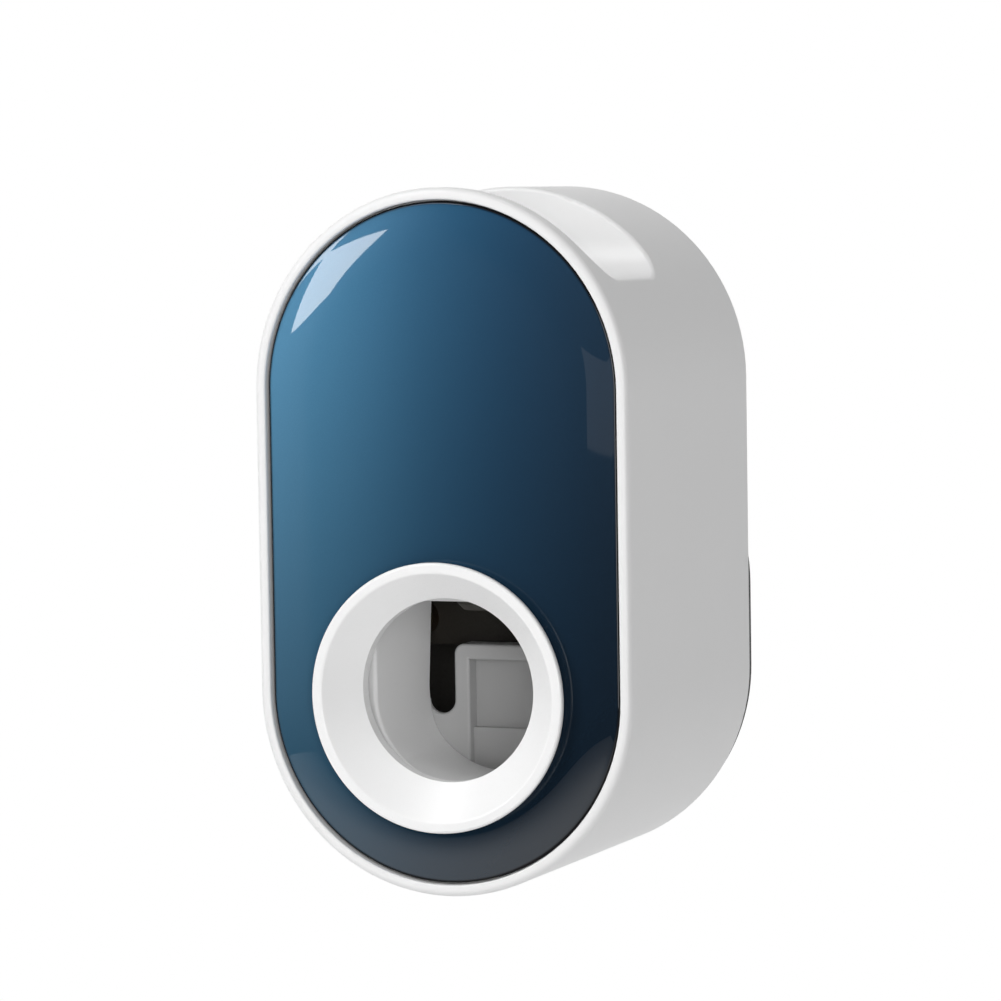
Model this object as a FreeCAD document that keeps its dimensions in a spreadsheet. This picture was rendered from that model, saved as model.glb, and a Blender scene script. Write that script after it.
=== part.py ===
import FreeCAD, Part
import math
import os
import re
import Sketcher
from FreeCAD import Placement, Rotation, Vector

# Wall-hung toothpaste dispenser: a brush pushed into the front hole works a piston pump under the tube
# saddle.
# Frame: +Z up, the front faces -Y, and the origin is on the glued face at the wall, level with the
# middle of the case.

doc = FreeCAD.newDocument("ToothpasteDispenser")

# Driving sizes in millimetres
sizes = {
    # Case
    "body_width": 74.0,
    "side_run": 56.0,
    "body_depth": 65.2,
    "side_wall": 2.5,
    "web_thickness": 2.0,
    "rim_width": 2.2,
    "rim_round": 1.4,
    "rim_inner_round": 0.4,
    "rear_round": 0.8,
    "cover_boss_radius": 3.4,
    "cover_boss_bite": 0.2,
    "cover_boss_drop": 8.0,
    "cover_boss_angle": 35.0,
    # Tube saddle across the top of the case
    "saddle_half": 15.2,
    "saddle_drop": 17.3,
    "saddle_round": 7.5,
    "saddle_wall": 2.0,
    "saddle_edge_round": 0.9,
    # Wall plate and its hooks
    "pad_thickness": 1.0,
    "pad_inset": 3.0,
    "plate_thickness": 2.0,
    "plate_inset": 0.7,
    "plate_margin": 8.3,
    "plate_gap": 0.4,
    "plate_round": 0.5,
    "hook_spread": 15.0,
    "hook_height": 16.0,
    "hook_width": 12.0,
    "hook_arm": 3.0,
    "hook_lip": 6.0,
    "hook_thickness": 2.0,
    "hook_gap": 0.4,
    "hang_gap": 0.1,
    "lift_margin": 0.5,
    # Rear cover
    "cover_thickness": 2.5,
    "cover_clearance": 0.2,
    # Front panel
    "panel_thickness": 2.6,
    "panel_proud": 0.2,
    "panel_gap": 0.25,
    "panel_round": 1.2,
    "tape_thickness": 0.4,
    "tape_width": 3.0,
    # Funnel ring
    "ring_flare": 7.85,
    "ring_reach": 3.3,
    "ring_depth": 9.4,
    "lip_width": 1.9,
    "lip_thickness": 1.2,
    "lip_round": 0.5,
    "seat_width": 1.4,
    "throat_radius": 17.0,
    "throat_rise": 0.9,
    "neck_wall": 3.1,
    "cone_depth": 5.8,
    "throat_length": 2.4,
    "throat_groove": 0.9,
    "ring_clearance": 0.05,
    # Brush trough behind the ring
    "ring_gap": 1.6,
    "trough_step": 0.4,
    "trough_drop": 0.8,
    "roof_rise": 1.0,
    "trough_wall": 1.8,
    "trough_lip_round": 0.8,
    "flange_set": 1.1,
    "flange_boss_radius": 3.0,
    "flange_boss_gap": 0.3,
    "flange_thickness": 2.0,
    "flange_land": 0.8,
    "flange_edge": 3.6,
    "flange_corner": 6.0,
    # Guide posts, bushes and return springs
    "post_radius": 2.0,
    "post_offset": 4.0,
    "post_rise": 10.0,
    "post_socket": 3.0,
    "post_cover_socket": 1.5,
    "ear_radius": 4.4,
    "ear_length": 5.0,
    "bush_radius": 3.6,
    "bush_reach": 3.0,
    "running_clearance": 0.05,
    "spring_radius": 3.2,
    "spring_wire": 0.7,
    "spring_solid": 7.7,
    "spring_turns": 5,
    # Push plate and carriage
    "push_gap": 0.2,
    "push_thickness": 5.0,
    "push_overlap": 1.4,
    "tongue_half": 10.3,
    "tongue_top": 6.5,
    "tongue_round": 2.0,
    "push_edge_round": 0.6,
    "slot_land": 0.9,
    "slot_bottom": 6.9,
    "slot_skin": 1.2,
    "slot_relief": 1.9,
    "slot_relief_set": 1.0,
    "recess_half": 7.2,
    "recess_top": 3.5,
    "recess_step": 9.6,
    "recess_depth": 3.5,
    "recess_low_depth": 2.0,
    "stem_length": 7.8,
    "stem_radius": 3.0,
    "stem_spread": 5.5,
    "carriage_thickness": 3.5,
    "carriage_half": 9.0,
    "carriage_foot": 8.0,
    "carriage_margin": 1.4,
    # Pump
    "pump_boss": 4.2,
    "inlet_room": 7.5,
    "bore_radius": 6.0,
    "pump_wall": 2.2,
    "barrel_clear": 2.5,
    "port_clear": 5.5,
    "port_reach": 6.0,
    "plug_length": 3.0,
    "cap_thickness": 2.0,
    "lug_thickness": 3.0,
    "lug_spread": 15.0,
    "lug_half": 3.2,
    "outlet_length": 4.0,
    "outlet_radius": 5.2,
    "outlet_bore": 2.5,
    "piston_length": 5.0,
    "piston_margin": 0.5,
    "piston_clearance": 0.1,
    "piston_seal_clearance": 0.04,
    "rod_radius": 3.0,
    "groove_depth": 1.2,
    "groove_width": 1.8,
    "seal_side_gap": 0.05,
    # Tube collar and inlet valve
    "collar_bore": 5.5,
    "collar_radius": 9.0,
    "collar_depth": 15.0,
    "collar_flange": 11.5,
    "collar_flange_thickness": 1.4,
    "collar_lead": 1.5,
    "collar_lead_depth": 3.9,
    "collar_grip": 6.5,
    "collar_relief": 1.0,
    "collar_clearance": 0.2,
    "tower_wall": 2.2,
    "tower_gap": 0.2,
    "tower_step": 0.8,
    "seat_thickness": 3.0,
    "port_gap": 0.6,
    "flow_radius": 1.5,
    "flow_circle": 3.6,
    "valve_gap": 0.05,
    "poppet_radius": 5.7,
    "poppet_rim": 1.0,
    "poppet_thickness": 1.5,
    "poppet_stem": 1.0,
    "stem_clearance": 0.1,
    "clip_radius": 2.4,
    "clip_thickness": 0.8,
    "valve_spring_length": 4.5,
    "valve_spring_radius": 1.75,
    "valve_spring_wire": 0.35,
    "valve_spring_turns": 4,
    # Outlet nozzle
    "nozzle_reach": 2.5,
    "nozzle_neck": 4.8,
    "nozzle_tip": 3.6,
    "nozzle_chamfer": 1.2,
    "nozzle_slit": 1.2,
    "nozzle_body": 7.2,
    "nozzle_grip": 3.6,
    "nozzle_clearance": 0.1,
    # Screws
    "screw_radius": 1.2,
    "screw_head_radius": 2.2,
    "screw_head": 1.5,
    "screw_bite": 6.0,
    "screw_tip_gap": 0.3,
    "drive_radius": 1.0,
    "drive_depth": 0.8,
    "pilot_clearance": 0.02,
    "pass_clearance": 0.1,
    "cover_screw_sink": 1.6,
    "web_bite": 0.5,
    # Contact of resting spring ends
    "spring_seat_gap": 0.02,
}

sheet = doc.addObject("Spreadsheet::Sheet", "Sizes")
for row, (size_name, number) in enumerate(sizes.items(), start=1):
    sheet.set(f"A{row}", size_name)
    sheet.set(f"B{row}", str(number))
    sheet.setAlias(f"B{row}", size_name)
doc.recompute()

# Places worked out from the sizes, each as a formula
places = {}


def formula(text):
    """The text with each size and place in it written out as a reference to the sheet."""
    def written_out(match):
        word = match.group(0)
        if word in places:
            return f"({places[word]})"
        return f"Sizes.{word}" if word in sizes else word
    return re.sub(r"[a-z][a-z_]*", written_out, text)


def place(name, text):
    places[name] = formula(text)


def value(text):
    return float(sheet.evalExpression(formula(text)))


# Along Y, from the wall to the front and back through the pump; the stroke is what the depth leaves
place("plate_front_y", "-(pad_thickness + plate_thickness)")
place("body_rear_y", "plate_front_y - plate_gap")
place("rim_y", "body_rear_y - body_depth")
place("panel_rear_y", "rim_y + panel_thickness - panel_proud")
place("web_front_y", "panel_rear_y + tape_thickness")
place("web_rear_y", "web_front_y + web_thickness")
place("cover_front_y", "body_rear_y - cover_thickness")
place("cap_front_y", "web_rear_y + pump_boss")
place("barrel_front_y", "cap_front_y + cap_thickness")
place("lug_rear_y", "barrel_front_y + lug_thickness")
place("feed_y", "barrel_front_y + plug_length + port_reach")
place("piston_front_y", "feed_y + port_clear")
place("piston_rear_y", "piston_front_y + piston_length")
place("slide_room", "cover_front_y - piston_rear_y - piston_margin - barrel_clear")
place("push_travel", "(slide_room - carriage_thickness - spring_solid) / 2")
place("barrel_rear_y", "piston_rear_y + push_travel + piston_margin")
place("carriage_front_y", "barrel_rear_y + barrel_clear")
place("carriage_rear_y", "carriage_front_y + carriage_thickness")
place("saddle_rear_y", "feed_y + saddle_half")
place("push_rear_y", "carriage_front_y - stem_length")
place("push_front_y", "push_rear_y - push_thickness")
place("trough_rear_y", "push_front_y - push_gap")
place("ring_front_y", "rim_y - ring_reach")
place("ring_rear_y", "ring_front_y + ring_depth")
place("trough_front_y", "ring_rear_y + ring_gap")
place("flange_front_y", "trough_front_y + flange_set")
place("flange_boss", "flange_front_y - web_rear_y")
place("flange_rear_y", "flange_front_y + flange_thickness")
place("lip_rear_y", "cover_front_y - hook_gap")
place("lip_front_y", "lip_rear_y - hook_thickness")

# Radii that follow the throat of the ring
place("ring_radius", "throat_radius + ring_flare")
place("neck_radius", "throat_radius + throat_groove + neck_wall")
place("trough_radius", "throat_radius - trough_step")
place("push_radius", "trough_radius + push_overlap")

# Along Z, from the middle of the case
place("arc_z", "side_run / 2")
place("ring_z", "-arc_z")
place("top_z", "arc_z + body_width / 2")
place("trough_z", "ring_z - trough_drop")
place("roof_z", "trough_z + trough_radius + roof_rise")
place("roof_top_z", "roof_z + trough_wall")
place("post_z", "ring_z + post_rise")
place("saddle_z", "top_z - saddle_drop")
place("seat_top_z", "saddle_z - collar_depth")
place("seat_bottom_z", "seat_top_z - seat_thickness")
place("tower_top_z", "saddle_z - saddle_wall - tower_gap")
place("barrel_radius", "bore_radius + pump_wall")
place("pump_z", "seat_bottom_z - inlet_room - barrel_radius")
place("tower_base_z", "pump_z + barrel_radius + tower_step")
place("outlet_z", "pump_z - barrel_radius - outlet_length")
place("nozzle_tip_z", "roof_z - nozzle_reach")
place("plate_arc_z", "hook_height + plate_margin - (body_width / 2 - plate_inset)")
place("throat_z", "ring_z + throat_rise")
place("window_low_z", "hook_height - hook_arm - hook_lip - 2 * lift_margin")

# Across X
place("trough_outer", "trough_radius + trough_wall")
place("post_x", "trough_outer + post_offset")
place("flange_screw_x", "trough_outer + flange_boss_radius + flange_land")
place("flange_screw_reach", "neck_radius + flange_boss_radius + flange_boss_gap")
place("flange_screw_rise", "sqrt(flange_screw_reach ^ 2 - flange_screw_x ^ 2)")
place("flange_x", "flange_screw_x + flange_edge")
place("flange_half", "flange_screw_rise + flange_edge")
place("slot_round", "(trough_radius - tongue_half - slot_land) / 2")
place("port_radius", "poppet_radius + port_gap")
place("cover_boss_reach", "body_width / 2 - side_wall - cover_boss_radius + cover_boss_bite")
place("past_side", "body_width / 2 + side_wall")

TURN_TO_Y = Rotation(Vector(1, 0, 0), -90)
TURN_TO_X = Rotation(Vector(0, 1, 0), 90)
TURN_TO_Z = Rotation()
TURNS = {"x": TURN_TO_X, "y": TURN_TO_Y, "z": TURN_TO_Z}


def bind(item, **formulas):
    for name, text in formulas.items():
        item.setExpression(name, formula(text))
    return item


def put(item, x, y, z, axis="z"):
    item.Placement = Placement(Vector(), TURNS[axis])
    for letter, text in zip("xyz", (x, y, z)):
        item.setExpression(f"Placement.Base.{letter}", formula(text))
    return item


def box(name, x, y, z):
    """A box between two X, two Y and two Z places."""
    item = doc.addObject("Part::Box", name)
    spans = [f"({high}) - ({low})" for low, high in (x, y, z)]
    bind(item, Length=spans[0], Width=spans[1], Height=spans[2])
    return put(item, x[0], y[0], z[0])


def rod(name, axis, radius, x, y, z, length):
    """A round bar that starts at a place and runs along an axis."""
    item = doc.addObject("Part::Cylinder", name)
    bind(item, Radius=radius, Height=length)
    return put(item, x, y, z, axis)


def fuse(name, *items):
    item = doc.addObject("Part::MultiFuse", name)
    item.Shapes = list(items)
    item.Refine = True
    return item


def cut(name, base, *tools):
    item = doc.addObject("Part::Cut", name)
    item.Base = base
    item.Tool = tools[0] if len(tools) == 1 else fuse(name + "_tools", *tools)
    item.Refine = True
    return item


def group(name, *items):
    item = doc.addObject("Part::Compound", name)
    item.Links = list(items)
    return item


def stadium(name, inset, y_low, y_high, top="arc_z"):
    """A prism along Y with the case's upright stadium outline, drawn in by an inset; top is the height of
    the upper round's centre."""
    sketch = doc.addObject("Sketcher::SketchObject", name + "_outline")
    radius = value(f"body_width / 2 - ({inset})")
    rise = value(top)
    drop = value("arc_z")
    centre_top = Vector(0, rise, 0)
    centre_low = Vector(0, -drop, 0)
    up = Vector(0, 0, 1)
    sketch.addGeometry(Part.LineSegment(Vector(radius, -drop, 0), Vector(radius, rise, 0)))
    sketch.addGeometry(Part.ArcOfCircle(Part.Circle(centre_top, up, radius), 0, math.pi))
    sketch.addGeometry(Part.LineSegment(Vector(-radius, rise, 0), Vector(-radius, -drop, 0)))
    sketch.addGeometry(Part.ArcOfCircle(Part.Circle(centre_low, up, radius), math.pi, 2 * math.pi))
    for side in range(4):
        sketch.addConstraint(Sketcher.Constraint("Tangent", side, 2, (side + 1) % 4, 1))
    sketch.addConstraint(Sketcher.Constraint("PointOnObject", 1, 3, -2))
    sketch.addConstraint(Sketcher.Constraint("PointOnObject", 3, 3, -2))
    sketch.addConstraint(Sketcher.Constraint("Equal", 1, 3))
    radius_index = sketch.addConstraint(Sketcher.Constraint("Radius", 1, radius))
    drop_index = sketch.addConstraint(Sketcher.Constraint("DistanceY", 3, 3, -1, 1, drop))
    span_index = sketch.addConstraint(Sketcher.Constraint("DistanceY", 3, 3, 1, 3, drop + rise))
    sketch.renameConstraint(radius_index, "round")
    sketch.renameConstraint(drop_index, "drop")
    sketch.renameConstraint(span_index, "span")
    sketch.setExpression("Constraints.round", formula(f"body_width / 2 - ({inset})"))
    sketch.setExpression("Constraints.drop", formula("arc_z"))
    sketch.setExpression("Constraints.span", formula(f"arc_z + {top}"))
    sketch.Placement = Placement(Vector(), Rotation(Vector(1, 0, 0), 90))
    sketch.setExpression("Placement.Base.y", formula(y_low))
    prism = doc.addObject("Part::Extrusion", name)
    prism.Base = sketch
    prism.DirMode = "Custom"
    prism.Dir = Vector(0, 1, 0)
    prism.Solid = True
    return bind(prism, LengthFwd=f"({y_high}) - ({y_low})")


def turned(name, axis, x, y, z, corners):
    """A piece turned about an axis from a place, with corners as (radius, distance along the axis)."""
    body = doc.addObject("PartDesign::Body", name)
    sketch = body.newObject("Sketcher::SketchObject", name + "_profile")
    plane = next(item for item in body.Origin.OriginFeatures if item.Role == "XZ_Plane")
    sketch.AttachmentSupport = [(plane, "")]
    sketch.MapMode = "FlatFace"
    points = [Vector(value(radius), value(along), 0) for radius, along in corners]
    count = len(points)
    for index in range(count):
        sketch.addGeometry(Part.LineSegment(points[index], points[(index + 1) % count]))
    for index in range(count):
        sketch.addConstraint(Sketcher.Constraint("Coincident", index, 2, (index + 1) % count, 1))
    for index, corner in enumerate(corners):
        for kind, text, number in zip(("DistanceX", "DistanceY"), corner, points[index]):
            added = sketch.addConstraint(Sketcher.Constraint(kind, -1, 1, index, 1, number))
            sketch.renameConstraint(added, f"{kind}{index}")
            sketch.setExpression(f"Constraints.{kind}{index}", formula(text))
    revolution = body.newObject("PartDesign::Revolution", name + "_turn")
    revolution.Profile = sketch
    revolution.ReferenceAxis = (sketch, ["V_Axis"])
    revolution.Angle = 360
    return put(body, x, y, z, axis)


def rounded(name, base, radius, picks):
    """The base with a fillet on each edge that the pick function takes."""
    doc.recompute()
    size = value(radius)
    item = doc.addObject("Part::Fillet", name)
    item.Base = base
    chosen = [index for index, edge in enumerate(base.Shape.Edges, start=1) if picks(edge)]
    item.Edges = [(index, size, size) for index in chosen]
    return item


SLACK = 0.01


def near(number, text):
    return abs(number - value(text)) < SLACK


def flat_at(edge, letter, text):
    """Whether the whole edge lies in one plane across an axis."""
    bounds = edge.BoundBox
    low, high = getattr(bounds, letter + "Min"), getattr(bounds, letter + "Max")
    return near(low, text) and near(high, text)


def reaches(edge, text):
    """Whether the edge goes out to a distance from the middle plane X 0."""
    return max(abs(edge.BoundBox.XMin), abs(edge.BoundBox.XMax)) > value(text) - SLACK


def stays_within(edge, text):
    """Whether the edge goes out to a distance from the middle plane X 0 and no further."""
    return near(max(abs(edge.BoundBox.XMin), abs(edge.BoundBox.XMax)), text)


parts = []


def node(label, item):
    item.Label = label
    parts.append(item)


def screw(name, x, y, z, length):
    """A socket screw along Y with its head at the back; y is the plane under the head."""
    blank = turned(name + "_blank", "y", x, f"({y}) - ({length})", z, [
        ("0", "0"),
        ("screw_radius", "0"),
        ("screw_radius", length),
        ("screw_head_radius", length),
        ("screw_head_radius", f"({length}) + screw_head"),
        ("0", f"({length}) + screw_head"),
    ])
    socket = doc.addObject("Part::Prism", name + "_socket")
    socket.Polygon = 6
    bind(socket, Circumradius="drive_radius", Height="2 * drive_depth")
    put(socket, x, f"({y}) + screw_head - drive_depth", z, "y")
    return cut(name, blank, socket)


def ring_of(name, axis, inner, outer, x, y, z, length):
    return turned(name, axis, x, y, z, [
        (inner, "0"), (outer, "0"), (outer, length), (inner, length)])


def biarc(start, start_way, end, end_way):
    """Two arcs that leave one point and reach another along the given directions."""
    across = end - start
    ways = start_way + end_way
    square = 2 * (start_way.dot(end_way) - 1)
    slope = -2 * across.dot(ways)
    root = math.sqrt(slope * slope - 4 * square * across.dot(across))
    reach = (-slope - root) / (2 * square)
    if reach < 0:
        reach = (-slope + root) / (2 * square)
    first_apex = start + start_way * reach
    last_apex = end - end_way * reach
    joint = (first_apex + last_apex) * 0.5
    arcs = []
    for low, apex, high in ((start, first_apex, joint), (joint, last_apex, end)):
        middle = (low + high) * 0.5
        half = (high - low).Length / 2
        angle = math.atan2((apex - middle).Length, half)
        bulge = half / math.sin(angle) * (1 - math.cos(angle))
        arcs.append(Part.Arc(low, middle + (apex - middle).normalize() * bulge, high).toShape())
    return arcs


def coil(name, radius, wire, length, turns, axis, x, y, z):
    """A coil spring of round wire that stands between two flat seats a length apart."""
    mean = value(radius)
    thick = value(wire)
    clear = value("spring_seat_gap")
    count = round(value(turns))
    rise = value(length) - thick - 2 * clear
    quarters = 4 * count
    climb = rise / (2 * math.pi * count)

    def spot(step):
        angle = step * math.pi / 2
        return Vector(mean * math.cos(angle), mean * math.sin(angle), clear + thick / 2 + climb * angle)

    def way(step):
        angle = step * math.pi / 2
        return Vector(-mean * math.sin(angle), mean * math.cos(angle), climb).normalize()

    arcs = []
    for step in range(quarters):
        arcs.extend(biarc(spot(step), way(step), spot(step + 1), way(step + 1)))
    section = Part.Wire(Part.Circle(spot(0), way(0), thick / 2).toShape())
    shape = Part.Wire(arcs).makePipeShell([section], True, False)
    turn_gap = min((spot(step + 4) - spot(step)).Length for step in range(quarters - 3)) - thick
    print(f"{name}: least gap between turns {turn_gap:.2f} mm")
    item = doc.addObject("Part::Feature", name)
    item.Shape = shape
    item.Placement = Placement(Vector(value(x), value(y), value(z)), TURNS[axis])
    return item


SIDES = (("left", "-"), ("right", ""))


# Adhesive pad: foam tape glued to the wall
node("adhesive_pad", stadium("Pad", "plate_inset + pad_inset", "-pad_thickness", "0", top="plate_arc_z"))

# Wall plate: moulded plate, shorter than the case, with two upturned hooks that carry the dispenser
plate_blank = stadium("PlateBlank", "plate_inset", "plate_front_y", "-pad_thickness", top="plate_arc_z")
plate_soft = rounded("PlateSoft", plate_blank, "plate_round",
                     lambda edge: flat_at(edge, "Y", "plate_front_y"))
hooks = []
for side, sign in SIDES:
    hook_x = (f"{sign}hook_spread - hook_width / 2", f"{sign}hook_spread + hook_width / 2")
    hook_low_z = "hook_height - hook_arm"
    hooks.append(box("HookArm_" + side, hook_x, ("lip_rear_y", "plate_front_y"),
                     (hook_low_z, "hook_height")))
    hooks.append(box("HookLip_" + side, hook_x, ("lip_front_y", "lip_rear_y"),
                     (hook_low_z, "hook_height + hook_lip")))
node("wall_plate", fuse("WallPlate", plate_soft, *hooks))

# Places of the four cover bosses and of the four trough screws
cover_spots = []
for side, sign in SIDES:
    cover_spots.append((side + "_top", f"{sign}cover_boss_reach", "arc_z - cover_boss_drop"))
    cover_spots.append((side + "_low", f"{sign}cover_boss_reach * sin(cover_boss_angle * 1 deg)",
                        "ring_z - cover_boss_reach * cos(cover_boss_angle * 1 deg)"))
flange_spots = []
for side, sign in SIDES:
    for level, step in (("top", "+"), ("low", "-")):
        flange_spots.append((f"{side}_{level}", f"{sign}flange_screw_x", f"ring_z {step} flange_screw_rise"))


def saddle(name, grow):
    """The tube saddle: a channel along X with a rounded bottom, grown outward by a wall."""
    corner = f"(saddle_round + {grow})"
    y_low, y_high = f"(web_rear_y - {grow})", f"(saddle_rear_y + {grow})"
    z_low, z_high = f"(saddle_z - {grow})", "(top_z + saddle_wall)"
    x = ("-past_side", "past_side")
    channel = [
        box(name + "_high", x, (y_low, y_high), (f"{z_low} + {corner}", z_high)),
        box(name + "_low", x, (f"{y_low} + {corner}", f"{y_high} - {corner}"),
            (z_low, f"{z_low} + {corner}")),
    ]
    for end, y in (("front", f"{y_low} + {corner}"), ("rear", f"{y_high} - {corner}")):
        channel.append(rod(f"{name}_{end}", "x", corner, "-past_side", y, f"{z_low} + {corner}",
                           "2 * past_side"))
    return fuse(name, *channel)


EDGE_SAMPLES = 5


def in_saddle_mouth(edge):
    """Whether the edge runs where the saddle meets the round top of the case."""
    points = edge.discretize(Number=EDGE_SAMPLES)
    radius = value("body_width / 2")
    on_top = all(abs(math.hypot(point.x, point.z - value("arc_z")) - radius) < SLACK for point in points)
    span = edge.BoundBox
    inside = span.YMin > value("web_rear_y") - SLACK and span.YMax < value("saddle_rear_y") + SLACK
    return on_top and inside and span.ZMin > value("saddle_z") - SLACK


# Housing shell: case open at the back, with a web behind the panel and screw bosses
case_blank = stadium("CaseBlank", "0", "rim_y", "body_rear_y")
panel_seat = stadium("PanelSeat", "rim_width", "rim_y", "web_front_y")
cavity = cut("Cavity", stadium("CavityBlank", "side_wall", "web_rear_y", "body_rear_y"),
             saddle("SaddleBlock", "saddle_wall"))
case_open = cut("CaseOpen", case_blank, panel_seat, cavity)
bosses = []
boss_holes = []
for spot, x, z in cover_spots:
    bosses.append(rod("CoverBoss_" + spot, "y", "cover_boss_radius", x, "web_rear_y", z,
                      "cover_front_y - web_rear_y"))
    boss_holes.append(rod("CoverPilot_" + spot, "y", "screw_radius + pilot_clearance", x,
                          "cover_front_y - screw_bite - screw_tip_gap", z, "screw_bite + screw_tip_gap"))
for spot, x, z in flange_spots:
    bosses.append(rod("TroughBoss_" + spot, "y", "flange_boss_radius", x, "web_rear_y", z, "flange_boss"))
    boss_holes.append(rod("TroughPilot_" + spot, "y", "screw_radius + pilot_clearance", x,
                          "web_rear_y - web_bite - screw_tip_gap", z,
                          "flange_boss + web_bite + screw_tip_gap"))
for side, sign in SIDES:
    bosses.append(rod("PumpBoss_" + side, "y", "lug_half", f"{sign}lug_spread", "web_rear_y", "pump_z",
                      "cap_front_y - web_rear_y"))
    boss_holes.append(rod("PumpPilot_" + side, "y", "screw_radius + pilot_clearance", f"{sign}lug_spread",
                          "web_rear_y - web_bite - screw_tip_gap", "pump_z",
                          "cap_front_y - web_rear_y + web_bite + screw_tip_gap"))
case_bossed = fuse("CaseBossed", case_open, *bosses)
ring_hole = rod("RingHole", "y", "neck_radius + ring_clearance", "0", "web_front_y", "ring_z",
                "web_thickness")
collar_hole = rod("CollarHole", "z", "collar_radius + collar_clearance", "0", "feed_y",
                  "saddle_z - saddle_wall", "saddle_wall")
collar_seat = rod("CollarSeat", "z", "collar_flange + collar_clearance", "0", "feed_y", "saddle_z",
                  "saddle_round")
case_cut = cut("CaseCut", case_bossed, saddle("SaddleCut", "0"), ring_hole, collar_hole, collar_seat,
               *boss_holes)
case_soft = rounded("CaseSoft", case_cut, "saddle_edge_round", in_saddle_mouth)
case_rim = rounded("CaseRim", case_soft, "rim_round",
                   lambda edge: flat_at(edge, "Y", "rim_y") and reaches(edge, "body_width / 2"))
case_lip = rounded("CaseLip", case_rim, "rim_inner_round",
                   lambda edge: flat_at(edge, "Y", "rim_y")
                   and stays_within(edge, "body_width / 2 - rim_width"))
node("housing_shell", rounded("HousingShell", case_lip, "rear_round",
                              lambda edge: flat_at(edge, "Y", "body_rear_y")
                              and reaches(edge, "body_width / 2")))

# Rear cover: plate inside the rear edge, with windows for the hooks and sockets for the guide posts
cover_blank = stadium("CoverBlank", "side_wall + cover_clearance", "cover_front_y", "body_rear_y")
cover_cuts = []
for spot, x, z in cover_spots:
    cover_cuts.append(rod("CoverPass_" + spot, "y", "screw_radius + pass_clearance", x, "cover_front_y", z,
                          "cover_thickness"))
    cover_cuts.append(rod("CoverSink_" + spot, "y", "screw_head_radius + pass_clearance", x,
                          "body_rear_y - cover_screw_sink", z, "cover_screw_sink"))
for side, sign in SIDES:
    window_x = (f"{sign}hook_spread - hook_width / 2 - hook_gap",
                f"{sign}hook_spread + hook_width / 2 + hook_gap")
    cover_cuts.append(box("Window_" + side, window_x, ("cover_front_y", "body_rear_y"),
                          ("window_low_z", "hook_height + hang_gap")))
    cover_cuts.append(rod("CoverSocket_" + side, "y", "post_radius + pilot_clearance", f"{sign}post_x",
                          "cover_front_y", "post_z", "post_cover_socket"))
node("rear_cover", cut("RearCover", cover_blank, *cover_cuts))
node("cover_screws", group("CoverScrews", *[
    screw("CoverScrew_" + spot, x, "body_rear_y - cover_screw_sink", z,
          "cover_thickness - cover_screw_sink + screw_bite") for spot, x, z in cover_spots]))

# Front panel and the tape that bonds it to the web
panel_blank = stadium("PanelBlank", "rim_width + panel_gap", "rim_y - panel_proud", "panel_rear_y")
panel_hole = rod("PanelHole", "y", "neck_radius + ring_clearance", "0", "rim_y - panel_proud", "ring_z",
                 "panel_thickness")
panel_cut = cut("PanelCut", panel_blank, panel_hole)
node("front_panel", rounded("FrontPanel", panel_cut, "panel_round",
                            lambda edge: flat_at(edge, "Y", "rim_y - panel_proud")
                            and reaches(edge, "body_width / 2 - rim_width - panel_gap")))
tape_blank = stadium("TapeBlank", "rim_width + panel_gap", "panel_rear_y", "web_front_y")
tape_window = stadium("TapeWindow", "rim_width + panel_gap + tape_width", "panel_rear_y", "web_front_y")
node("panel_tape", cut("PanelTape", tape_blank, tape_window))

# Funnel ring: flared lip that stands off the panel, a neck through panel and web, and a cone that rises
# to the throat
place("panel_reach", "ring_reach - panel_proud")
place("mouth_radius", "ring_radius - lip_width")
place("throat_end", "cone_depth + throat_length")
ring_blank = turned("RingBlank", "y", "0", "ring_front_y", "ring_z", [
    ("0", "0"),
    ("ring_radius", "0"),
    ("ring_radius", "lip_thickness"),
    ("neck_radius + seat_width", "panel_reach"),
    ("neck_radius", "panel_reach"),
    ("neck_radius", "ring_depth"),
    ("0", "ring_depth"),
])
cone_ends = []
for end, radius, y, z in (("mouth", "mouth_radius", "ring_front_y", "ring_z"),
                          ("throat", "throat_radius", "ring_front_y + cone_depth", "throat_z")):
    circle = doc.addObject("Part::Circle", "Cone_" + end)
    cone_ends.append(put(bind(circle, Radius=radius), "0", y, z, "y"))
cone = doc.addObject("Part::Loft", "Cone")
cone.Sections = cone_ends
cone.Solid = True
cone.Ruled = True
throat = rod("Throat", "y", "throat_radius", "0", "ring_front_y + cone_depth", "throat_z",
             "ring_depth - cone_depth")
groove = rod("ThroatGroove", "y", "throat_radius + throat_groove", "0", "ring_front_y + throat_end",
             "throat_z", "ring_depth - throat_end")
ring_cut = cut("RingCut", ring_blank, cone, throat, groove)
node("funnel_ring", rounded("FunnelRing", ring_cut, "lip_round",
                            lambda edge: flat_at(edge, "Y", "ring_front_y")
                            or flat_at(edge, "Y", "ring_front_y + lip_thickness")))


def trough_form(name, grow, y_low, y_high):
    """The brush chamber's section along Y: a half round floor with upright sides, grown by a wall."""
    width = f"(trough_radius + {grow})"
    length = f"({y_high}) - ({y_low})"
    return fuse(name,
                rod(name + "_floor", "y", width, "0", y_low, "trough_z", length),
                box(name + "_sides", (f"-{width}", width), (y_low, y_high),
                    ("trough_z", f"roof_z + {grow}")))


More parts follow.
